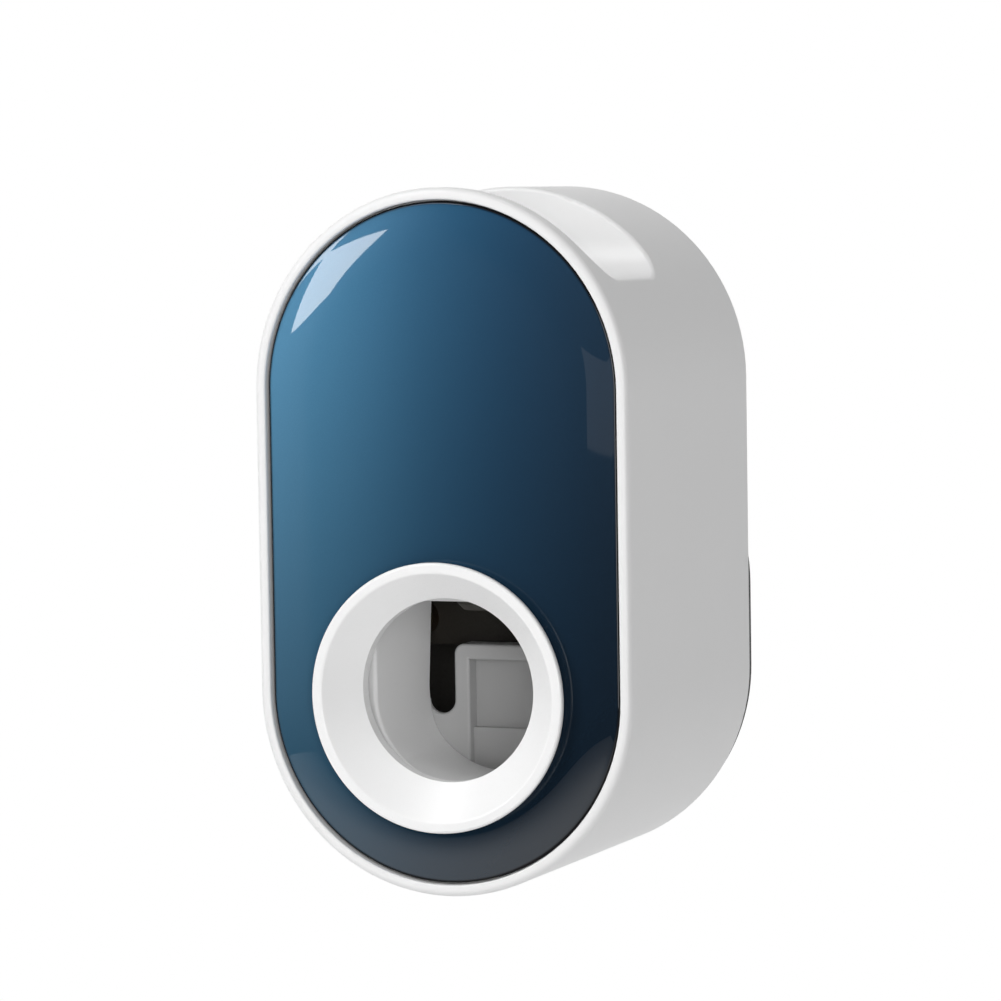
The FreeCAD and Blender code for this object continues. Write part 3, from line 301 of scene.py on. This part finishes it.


# Width of the painted shade band along the panel's cut edge, where the gap to the rim is in shadow.
painted_edge_shade_width = 0.0007
half_lit_blue_at = 0.46
painted_light_power = 2.0
blue_lacquer_with_painted_light = bpy.data.materials.new("blue_lacquer_with_painted_light")
blue_lacquer_with_painted_light.use_nodes = True
lacquer_tree = blue_lacquer_with_painted_light.node_tree
lacquer_shader = lacquer_tree.nodes["Principled BSDF"]
lacquer_shader.inputs["Coat Roughness"].default_value = 0.02
lacquer_shader.inputs["Specular IOR Level"].default_value = 0.0
lacquer_place = shader_node(lacquer_tree, "TexCoord")
lacquer_split = shader_node(lacquer_tree, "SeparateXYZ")
painted_light_across_place = shader_node(lacquer_tree, "MapRange", From_Min=-panel_half, From_Max=panel_half)
# Painted light and reflection across the panel: lit blue on the left, falling to shaded navy on the right.
painted_light_ramp = shader_node(lacquer_tree, "ValToRGB")
painted_light_ramp.color_ramp.interpolation = "B_SPLINE"
painted_lit_blue, painted_shaded_navy = painted_light_ramp.color_ramp.elements
painted_lit_blue.color = (0.070, 0.215, 0.35, 1)
painted_shaded_navy.color = (0.010, 0.018, 0.030, 1)
painted_half_lit_blue = painted_light_ramp.color_ramp.elements.new(half_lit_blue_at)
painted_half_lit_blue.color = (0.009, 0.048, 0.103, 1)
# Painted light: the colour is darkened towards the bottom and brightened towards the top, and the ramp is
# squared.
painted_light_down = shader_node(lacquer_tree, "MapRange", From_Min=panel_low.z, From_Max=panel_high.z,
                           To_Min=0.5, To_Max=1.29)
painted_light_falloff = math_node(lacquer_tree, "POWER", painted_light_down.outputs["Result"], painted_light_power)
painted_light_colour = shader_node(lacquer_tree, "VectorMath")
painted_light_colour.operation = "SCALE"
lacquer_flakes = shader_node(lacquer_tree, "TexVoronoi", Scale=6000.0)
lacquer_glint = shader_node(lacquer_tree, "MixRGB", Color2=(1.1, 1.1, 1.1, 1))
lacquer_glint.blend_type = "MULTIPLY"
lacquer_gloss = shader_node(lacquer_tree, "MapRange", To_Min=0.3, To_Max=0.4)
lacquer_tree.links.new(lacquer_place.outputs["Object"], lacquer_split.inputs["Vector"])
lacquer_tree.links.new(lacquer_split.outputs["X"], painted_light_across_place.inputs["Value"])
lacquer_tree.links.new(painted_light_across_place.outputs["Result"], painted_light_ramp.inputs["Fac"])
lacquer_tree.links.new(lacquer_split.outputs["Z"], painted_light_down.inputs["Value"])
lacquer_tree.links.new(painted_light_ramp.outputs["Color"], painted_light_colour.inputs[0])
lacquer_tree.links.new(painted_light_falloff, painted_light_colour.inputs["Scale"])
lacquer_tree.links.new(lacquer_place.outputs["Object"], lacquer_flakes.inputs["Vector"])
lacquer_tree.links.new(lacquer_flakes.outputs["Distance"], lacquer_glint.inputs["Fac"])
lacquer_tree.links.new(painted_light_colour.outputs["Vector"], lacquer_glint.inputs["Color1"])
lacquer_tree.links.new(lacquer_flakes.outputs["Distance"], lacquer_gloss.inputs["Value"])
lacquer_height = math_node(lacquer_tree, "ABSOLUTE", lacquer_split.outputs["Z"], 0.0)
lacquer_end = math_node(lacquer_tree, "SUBTRACT", lacquer_height, panel_arc_z)
lacquer_from_axis = shader_node(lacquer_tree, "CombineXYZ")
lacquer_tree.links.new(lacquer_split.outputs["X"], lacquer_from_axis.inputs["X"])
lacquer_tree.links.new(math_node(lacquer_tree, "MAXIMUM", lacquer_end, 0.0), lacquer_from_axis.inputs["Z"])
lacquer_reach = shader_node(lacquer_tree, "VectorMath")
lacquer_reach.operation = "LENGTH"
lacquer_tree.links.new(lacquer_from_axis.outputs["Vector"], lacquer_reach.inputs[0])
# Painted shade: near black along the cut edge, where the gap to the rim falls in shadow. The clear coat
# thins there too.
edge_shade_mask = shader_node(lacquer_tree, "MapRange", From_Min=panel_half - painted_edge_shade_width,
                           From_Max=panel_half - edge_round / 2)
lacquer_tree.links.new(lacquer_reach.outputs["Value"], edge_shade_mask.inputs["Value"])
painted_edge_shade = shader_node(lacquer_tree, "MixRGB", Color2=(0.004, 0.004, 0.005, 1))
lacquer_tree.links.new(edge_shade_mask.outputs["Result"], painted_edge_shade.inputs["Fac"])
lacquer_tree.links.new(lacquer_glint.outputs["Color"], painted_edge_shade.inputs["Color1"])
lacquer_coat = shader_node(lacquer_tree, "MapRange", To_Min=1.0, To_Max=0.5)
lacquer_tree.links.new(edge_shade_mask.outputs["Result"], lacquer_coat.inputs["Value"])
lacquer_tree.links.new(lacquer_coat.outputs["Result"], lacquer_shader.inputs["Coat Weight"])
lacquer_tree.links.new(painted_edge_shade.outputs["Color"], lacquer_shader.inputs["Base Color"])
lacquer_tree.links.new(lacquer_gloss.outputs["Result"], lacquer_shader.inputs["Roughness"])
crowned_panel.data.materials.append(blue_lacquer_with_painted_light)


# Funnel ring: a round white ABS moulding with a polished lip and cone that lead the brush in.
# Its neck sits in the holes of the panel and of the web of the case.
white_gloss = effect_material(
    "white_gloss", moulded_skin, relief=0.0000001,
    colour=(0.92, 0.92, 0.92, 1), flow_colour=(0.905, 0.905, 0.905, 1), grain_scale=6000.0,
    least_roughness=0.27, most_roughness=0.31)
finish_node("funnel_ring", white_gloss)


# Brush trough: the pale moulded chamber behind the ring, screwed to the web of the case by its flange.
# It is satin inside, so that paste wipes off, and its side walls lean in towards the back, where the
# core of the mould was narrower.
pale_chamber = effect_material(
    "pale_chamber", moulded_skin, relief=0.000002,
    colour=(0.81, 0.81, 0.81, 1), flow_colour=(0.785, 0.785, 0.785, 1), grain_scale=2400.0,
    least_roughness=0.35, most_roughness=0.5)
weld_gap = 1e-6
plane_gap = 1e-5
radius_gap = 1e-4
chamber_half = 0.0166
chamber_bend = -0.0288
draft_foot = -0.040
draft_shoulder = -0.030
draft_head = -0.012
wall_draft = 0.0012
head_draft = 0.0008
chamber_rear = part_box("brush_trough")[1].y
chamber_mesh = bmesh.new()
chamber_mesh.from_mesh(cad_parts["brush_trough"].data)
bmesh.ops.remove_doubles(chamber_mesh, verts=chamber_mesh.verts[:], dist=weld_gap)


def climbed(level, foot, head):
    """How much of the way from foot to head a level has climbed, from 0 to 1."""
    return min(max((level - foot) / (head - foot), 0), 1)


for vert in chamber_mesh.verts:
    reach = math.hypot(vert.co.x, min(vert.co.z - chamber_bend, 0))
    if abs(vert.co.y - chamber_rear) < plane_gap and reach < chamber_half + radius_gap:
        rise = climbed(vert.co.z, draft_foot, draft_shoulder)
        eased = rise * rise * (3 - 2 * rise)
        narrowing = wall_draft * eased + head_draft * climbed(vert.co.z, draft_shoulder, draft_head)
        vert.co.x *= 1 - narrowing / chamber_half
drafted_chamber = piece_from("drafted_chamber", chamber_mesh, "dispenser", crease=35)
drafted_chamber.data.materials.append(pale_chamber)
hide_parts("brush_trough")
finish_node("trough_screws", plated_screw)


# Guide posts, bushes and return springs: ground steel pins between trough and cover, sintered bronze
# bushes that run on them, and drawn-wire springs round them, which shorten as the carriage goes back.
ground_steel = effect_material(
    "ground_steel", worked_steel, relief=0.000004, plain={"Metallic": 1.0},
    colour=(0.66, 0.66, 0.67, 1), stain_colour=(0.6, 0.6, 0.6, 1), streak=(300.0, 9000.0, 300.0),
    least_roughness=0.12, most_roughness=0.25)
finish_node("guide_posts", ground_steel)
sintered_bronze = effect_material(
    "sintered_bronze", worked_steel, relief=0.00002, plain={"Metallic": 1.0},
    colour=(0.12, 0.085, 0.05, 1), stain_colour=(0.07, 0.05, 0.03, 1), streak=(4000.0, 4000.0, 4000.0),
    least_roughness=0.35, most_roughness=0.6)
finish_node("guide_bushes", sintered_bronze)

drawn_wire = effect_material(
    "drawn_wire", worked_steel, relief=0.000004, plain={"Metallic": 1.0},
    colour=(0.56, 0.56, 0.57, 1), stain_colour=(0.46, 0.45, 0.44, 1), streak=(1500.0, 1500.0, 1500.0),
    least_roughness=0.2, most_roughness=0.35)


def wind_coil(mesh, start, axis, across, mean_radius, wire_radius, climb, turns):
    """Winds round wire from a start point on the axis; across points from the axis to the wire."""
    turn_steps = 28
    wire_sides = 12
    along_wire = axis.cross(across).to_track_quat("Z", "Y").to_matrix().to_4x4()
    wire_end = Matrix.Translation(start + across * mean_radius) @ along_wire
    section = bmesh.ops.create_circle(mesh, cap_ends=True, segments=wire_sides, radius=wire_radius,
                                      matrix=wire_end)
    ring = section["verts"]
    geometry = ring + list({edge for vert in ring for edge in vert.link_edges})
    geometry += list({face for vert in ring for face in vert.link_faces})
    steps = turns * turn_steps
    bmesh.ops.spin(mesh, geom=geometry, cent=start, axis=axis, dvec=axis * (climb / steps),
                   angle=2 * math.pi * turns, steps=steps)


spring_low, spring_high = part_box("return_springs")
spring_wire = 0.00035
spring_turns = 5
post_z = (spring_low.z + spring_high.z) / 2
coil_radius = (spring_high.z - spring_low.z) / 2 - spring_wire
post_x = spring_high.x - coil_radius - spring_wire
spring_length = spring_high.y - spring_low.y
springs_mesh = bmesh.new()
for side in (-1, 1):
    wind_coil(springs_mesh, start=Vector((side * post_x, spring_low.y + spring_wire, post_z)),
              axis=Vector((0, 1, 0)), across=Vector((1, 0, 0)), mean_radius=coil_radius,
              wire_radius=spring_wire, climb=spring_length - 2 * spring_wire, turns=spring_turns)
bmesh.ops.recalc_face_normals(springs_mesh, faces=springs_mesh.faces[:])
wound_springs = piece_from("wound_springs", springs_mesh, "dispenser", crease=50)
wound_springs.data.materials.append(drawn_wire)
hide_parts("return_springs")
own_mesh(wound_springs)


# Push plate and carriage: a grey slotted plate that the brush pushes, and the black slide behind it.
# Two screws from the back hold the plate's stems to the slide.
grey_plate = effect_material(
    "grey_plate", moulded_skin, relief=0.000002,
    colour=(0.47, 0.47, 0.47, 1), flow_colour=(0.45, 0.45, 0.45, 1), grain_scale=2400.0,
    least_roughness=0.38, most_roughness=0.55)
finish_node("push_plate", grey_plate)
black_slide = effect_material(
    "black_slide", moulded_skin, relief=0.00002,
    colour=(0.03, 0.026, 0.02, 1), flow_colour=(0.036, 0.031, 0.024, 1), grain_scale=2000.0,
    least_roughness=0.45, most_roughness=0.65)
finish_node("carriage", black_slide)
finish_node("plate_screws", plated_screw)


# Pump body and cap: glass-filled black nylon, with the fine mottle that the fibres leave at the skin.
# The cap plugs the barrel, and two screws through both hold them to the case.
fibre_nylon = effect_material(
    "fibre_nylon", moulded_skin, relief=0.00003,
    colour=(0.026, 0.024, 0.02, 1), flow_colour=(0.036, 0.033, 0.028, 1), flow_scale=300.0,
    grain_scale=1600.0, least_roughness=0.42, most_roughness=0.7)
for name in ("pump_body", "pump_cap"):
    finish_node(name, fibre_nylon)
finish_node("pump_screws", plated_screw)


# Sealing rings: black nitrile rubber in grooves of the cap and of the piston.
# Matt, with the pale bloom that such rubber gets.
moulded_rubber, rubber_in, rubber_out = effect_group(
    "moulded_rubber",
    [("Colour", "Color", (0.02, 0.02, 0.02, 1)), ("Bloom Colour", "Color", (0.06, 0.06, 0.06, 1)),
     ("Bloom Scale", "Float", 120.0), ("Least Roughness", "Float", 0.55), ("Most Roughness", "Float", 0.8)],
    [("Colour", "Color"), ("Roughness", "Float"), ("Height", "Float")])
rubber_place = shader_node(moulded_rubber, "TexCoord")
rubber_bloom = shader_node(moulded_rubber, "TexNoise", Detail=4.0, Roughness=0.6)
rubber_fleck = shader_node(moulded_rubber, "TexNoise", Scale=5000.0, Detail=1.0)
rubber_mix = shader_node(moulded_rubber, "MixRGB")
rubber_gloss = shader_node(moulded_rubber, "MapRange", From_Min=0.3, From_Max=0.7)
moulded_rubber.links.new(rubber_place.outputs["Object"], rubber_bloom.inputs["Vector"])
moulded_rubber.links.new(rubber_in.outputs["Bloom Scale"], rubber_bloom.inputs["Scale"])
moulded_rubber.links.new(rubber_place.outputs["Object"], rubber_fleck.inputs["Vector"])
moulded_rubber.links.new(rubber_bloom.outputs["Fac"], rubber_mix.inputs["Fac"])
moulded_rubber.links.new(rubber_in.outputs["Colour"], rubber_mix.inputs["Color1"])
moulded_rubber.links.new(rubber_in.outputs["Bloom Colour"], rubber_mix.inputs["Color2"])
moulded_rubber.links.new(rubber_bloom.outputs["Fac"], rubber_gloss.inputs["Value"])
moulded_rubber.links.new(rubber_in.outputs["Least Roughness"], rubber_gloss.inputs["To Min"])
moulded_rubber.links.new(rubber_in.outputs["Most Roughness"], rubber_gloss.inputs["To Max"])
moulded_rubber.links.new(rubber_mix.outputs["Color"], rubber_out.inputs["Colour"])
moulded_rubber.links.new(rubber_gloss.outputs["Result"], rubber_out.inputs["Roughness"])
moulded_rubber.links.new(rubber_fleck.outputs["Fac"], rubber_out.inputs["Height"])

black_nitrile = effect_material(
    "black_nitrile", moulded_rubber, relief=0.00001,
    colour=(0.012, 0.012, 0.012, 1), bloom_colour=(0.03, 0.03, 0.032, 1))
for name in ("cap_seal", "piston_seal"):
    finish_node(name, black_nitrile)


# Piston and valve seat: natural acetal, slightly waxy. The piston is drawn back by the carriage through
# its rod and one screw, and the seat is a disc that the collar holds down in the tower of the pump.
natural_acetal = effect_material(
    "natural_acetal", moulded_skin, relief=0.000006,
    colour=(0.74, 0.735, 0.7, 1), flow_colour=(0.69, 0.685, 0.65, 1), flow_scale=80.0, grain_scale=2000.0,
    least_roughness=0.28, most_roughness=0.4)
for name in ("piston", "valve_seat"):
    finish_node(name, natural_acetal)
finish_node("rod_screw", plated_screw)


# Collar and outlet nozzle: moulded silicone, soft and pale for the collar that sits in the saddle above
#  the valve. The nozzle that hangs from the pump into the brush trough is coloured dark as painted shade,
#  for the shadow it hangs in.
pale_silicone = effect_material(
    "pale_silicone", moulded_rubber, relief=0.000012,
    colour=(0.6, 0.605, 0.61, 1), bloom_colour=(0.66, 0.66, 0.66, 1), bloom_scale=60.0,
    least_roughness=0.4, most_roughness=0.6)
finish_node("tube_collar", pale_silicone)
# The nozzle's dark colour is painted shade, for the shadow at the top of the brush trough.
nozzle_shade_silicone = effect_material(
    "nozzle_shade_silicone", moulded_rubber, relief=0.000012,
    colour=(0.03, 0.027, 0.022, 1), bloom_colour=(0.045, 0.041, 0.035, 1), bloom_scale=60.0,
    least_roughness=0.45, most_roughness=0.65)
finish_node("outlet_nozzle", nozzle_shade_silicone)


# Inlet poppet: red silicone disc on a stem under the valve seat, with a stamped clip and a small spring.
# The spring shortens as the poppet drops.
red_silicone = effect_material(
    "red_silicone", moulded_rubber, relief=0.000012,
    colour=(0.42, 0.1, 0.07, 1), bloom_colour=(0.5, 0.16, 0.12, 1), bloom_scale=150.0,
    least_roughness=0.45, most_roughness=0.65)
finish_node("inlet_poppet", red_silicone)
stamped_clip = effect_material(
    "stamped_clip", worked_steel, relief=0.000008, plain={"Metallic": 1.0},
    colour=(0.55, 0.55, 0.56, 1), stain_colour=(0.42, 0.4, 0.38, 1), streak=(2500.0, 300.0, 300.0),
    least_roughness=0.25, most_roughness=0.45)
finish_node("poppet_clip", stamped_clip)

valve_low, valve_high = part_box("valve_spring")
valve_wire = 0.000175
valve_turns = 4
valve_centre = (valve_low + valve_high) / 2
valve_radius = (valve_high.y - valve_low.y) / 2 - valve_wire
valve_length = valve_high.z - valve_low.z
valve_mesh = bmesh.new()
wind_coil(valve_mesh, start=Vector((valve_centre.x, valve_centre.y, valve_low.z + valve_wire)),
          axis=Vector((0, 0, 1)), across=Vector((1, 0, 0)), mean_radius=valve_radius,
          wire_radius=valve_wire, climb=valve_length - 2 * valve_wire, turns=valve_turns)
bmesh.ops.recalc_face_normals(valve_mesh, faces=valve_mesh.faces[:])
poppet_spring = piece_from("poppet_spring", valve_mesh, "dispenser", crease=50)
poppet_spring.data.materials.append(drawn_wire)
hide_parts("valve_spring")
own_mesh(poppet_spring)


# Studio floor: a wide pale sheet below and in front of the hanging dispenser, which takes its shadow.
# A glow lifts it to white, to the camera and, fading towards its front edge, in reflections. From below
# it lets the view through.
floor_level = -0.5
floor_forward = -0.8
floor_half = 1.4
floor_glow = 0.64
glow_end = floor_forward - floor_half
glow_full = -0.9
floor_mesh = bmesh.new()
bmesh.ops.create_grid(floor_mesh, x_segments=1, y_segments=1, size=floor_half,
                      matrix=Matrix.Translation((0, floor_forward, floor_level)))
floor_data = bpy.data.meshes.new("studio_floor")
floor_mesh.to_mesh(floor_data)
floor_mesh.free()
studio_floor = bpy.data.objects.new("studio_floor", floor_data)
bpy.context.scene.collection.objects.link(studio_floor)
floor_sheet = bpy.data.materials.new("floor_sheet")
floor_sheet.use_nodes = True
sheet_tree = floor_sheet.node_tree
sheet_shader = sheet_tree.nodes["Principled BSDF"]
sheet_shader.inputs["Base Color"].default_value = (0.8, 0.8, 0.8, 1)
sheet_shader.inputs["Roughness"].default_value = 0.9
sheet_shader.inputs["Emission Color"].default_value = (1, 1, 1, 1)
sheet_path = shader_node(sheet_tree, "LightPath")
sheet_place = shader_node(sheet_tree, "TexCoord")
sheet_split = shader_node(sheet_tree, "SeparateXYZ")
sheet_tree.links.new(sheet_place.outputs["Object"], sheet_split.inputs["Vector"])
sheet_fade = shader_node(sheet_tree, "MapRange", From_Min=glow_end, From_Max=glow_full)
sheet_tree.links.new(sheet_split.outputs["Y"], sheet_fade.inputs["Value"])
mirror_ray = math_node(sheet_tree, "MAXIMUM", sheet_path.outputs["Is Glossy Ray"],
                       sheet_path.outputs["Is Transmission Ray"])
mirror_glow = math_node(sheet_tree, "MULTIPLY", mirror_ray, sheet_fade.outputs["Result"])
seen_glow = math_node(sheet_tree, "MAXIMUM", sheet_path.outputs["Is Camera Ray"], mirror_glow)
sheet_strength = math_node(sheet_tree, "MULTIPLY", seen_glow, floor_glow)
sheet_tree.links.new(sheet_strength, sheet_shader.inputs["Emission Strength"])
sheet_clear = shader_node(sheet_tree, "BsdfTransparent")
sheet_side = shader_node(sheet_tree, "NewGeometry")
sheet_through = shader_node(sheet_tree, "MixShader")
sheet_tree.links.new(sheet_side.outputs["Backfacing"], sheet_through.inputs["Fac"])
sheet_tree.links.new(sheet_shader.outputs["BSDF"], sheet_through.inputs[1])
sheet_tree.links.new(sheet_clear.outputs["BSDF"], sheet_through.inputs[2])
sheet_tree.links.new(sheet_through.outputs["Shader"], sheet_tree.nodes["Material Output"].inputs["Surface"])
floor_data.materials.append(floor_sheet)


# Studio light: a white room that is dim behind the camera and brightest on the left, a softbox high
# on the left over a small window, a second one farther off on the right, and a dim card in front.
room = bpy.data.worlds.new("studio_room")
bpy.context.scene.world = room
room.use_nodes = True
room_tree = room.node_tree
room_light = room_tree.nodes["Background"]
room_white = shader_node(room_tree, "Background", Strength=1.0)
room_white.inputs["Color"].default_value = (1, 1, 1, 1)
room_light.inputs["Color"].default_value = (1, 1, 1, 1)
room_way = shader_node(room_tree, "TexCoord")
room_split = shader_node(room_tree, "SeparateXYZ")
room_tree.links.new(room_way.outputs["Generated"], room_split.inputs["Vector"])


def room_ramp(axis, dark_from, bright_at, least, most):
    """The room's brightness as it rises along one direction."""
    ramp = shader_node(room_tree, "MapRange", From_Min=dark_from, From_Max=bright_at, To_Min=least,
                       To_Max=most)
    ramp.interpolation_type = "SMOOTHSTEP"
    room_tree.links.new(room_split.outputs[axis], ramp.inputs["Value"])
    return ramp.outputs["Result"]


left_side = room_ramp("X", dark_from=-0.26, bright_at=-0.6, least=0.0, most=0.42)
left_height = room_ramp("Z", dark_from=-0.3, bright_at=0.05, least=0.3, most=1.0)
left_wall = math_node(room_tree, "MULTIPLY", left_side, left_height)
right_wall = room_ramp("X", dark_from=0.1, bright_at=0.6, least=0.0, most=0.04)
ceiling = room_ramp("Z", dark_from=0.3, bright_at=0.9, least=0.0, most=0.22)
back_wall = room_ramp("Y", dark_from=-0.1, bright_at=0.4, least=0.06, most=0.4)
side_level = math_node(room_tree, "MAXIMUM", left_wall, right_wall)
far_level = math_node(room_tree, "MAXIMUM", ceiling, back_wall)
room_level = math_node(room_tree, "MAXIMUM", side_level, far_level)
room_tree.links.new(room_level, room_light.inputs["Strength"])
room_path = shader_node(room_tree, "LightPath")
room_mirror = math_node(room_tree, "MAXIMUM", room_path.outputs["Is Glossy Ray"],
                        room_path.outputs["Is Transmission Ray"])
room_backdrop = room_ramp("Y", dark_from=0.1, bright_at=0.5, least=0.0, most=1.0)
mirror_back = math_node(room_tree, "MULTIPLY", room_mirror, room_backdrop)
room_seen = math_node(room_tree, "MAXIMUM", room_path.outputs["Is Camera Ray"], mirror_back)
room_mix = shader_node(room_tree, "MixShader")
room_tree.links.new(room_seen, room_mix.inputs["Fac"])
room_tree.links.new(room_light.outputs["Background"], room_mix.inputs[1])
room_tree.links.new(room_white.outputs["Background"], room_mix.inputs[2])
room_tree.links.new(room_mix.outputs["Shader"], room_tree.nodes["World Output"].inputs["Surface"])


def softbox(name, left, up, distance, width, height, brightness):
    """A rectangular lamp that faces the dispenser, placed by its angles to the left and up, in degrees."""
    lamp = bpy.data.lights.new(name, "AREA")
    lamp.shape = "RECTANGLE"
    lamp.size = width
    lamp.size_y = height
    lamp.energy = brightness * math.pi * width * height
    way = Vector((-math.sin(math.radians(left)) * math.cos(math.radians(up)),
                  -math.cos(math.radians(left)) * math.cos(math.radians(up)), math.sin(math.radians(up))))
    stand = bpy.data.objects.new(name, lamp)
    stand.location = way * distance
    stand.rotation_mode = "QUATERNION"
    stand.rotation_quaternion = way.to_track_quat("Z", "Y")
    bpy.context.scene.collection.objects.link(stand)


softbox("key_softbox", left=38, up=45, distance=1.4, width=0.8, height=0.8, brightness=4.3)
softbox("left_window", left=37.5, up=12, distance=1.4, width=0.33, height=0.32, brightness=9.4)
softbox("right_fill", left=-28, up=5, distance=1.6, width=0.8, height=0.8, brightness=4.9)
softbox("front_card", left=-3, up=0.5, distance=1.5, width=0.46, height=0.15, brightness=0.4)


# Camera: a long lens to the right of the case and slightly above it, rolled by a touch.
# Its place is set from the middle of the front rim.
camera_turn = math.radians(22.59)
camera_rise = math.radians(3.99)
camera_roll = math.radians(-0.90)
camera_distance = 0.785
aim_right = 0.01112
aim_up = 0.00799
picture_side = 1001
focal_pixels = 4300
rim_y = -0.0686
view = bpy.data.cameras.new("photo_camera")
view.sensor_width = 36.0
view.lens = focal_pixels * view.sensor_width / picture_side
view.clip_start = 0.01
view.clip_end = 20.0
camera = bpy.data.objects.new("photo_camera", view)
bpy.context.scene.collection.objects.link(camera)
back = Vector((math.sin(camera_turn) * math.cos(camera_rise), -math.cos(camera_turn) * math.cos(camera_rise),
               math.sin(camera_rise)))
level_right = (-back).cross(Vector((0, 0, 1))).normalized()
level_up = level_right.cross(-back)
right = level_right * math.cos(camera_roll) + level_up * math.sin(camera_roll)
up = level_up * math.cos(camera_roll) - level_right * math.sin(camera_roll)
stand_at = Vector((0, rim_y, 0)) + right * aim_right + up * aim_up + back * camera_distance
camera.matrix_world = Matrix((right, up, back)).transposed().to_4x4()
camera.location = stand_at
bpy.context.scene.camera = camera
bpy.context.scene.view_settings.view_transform = "Standard"
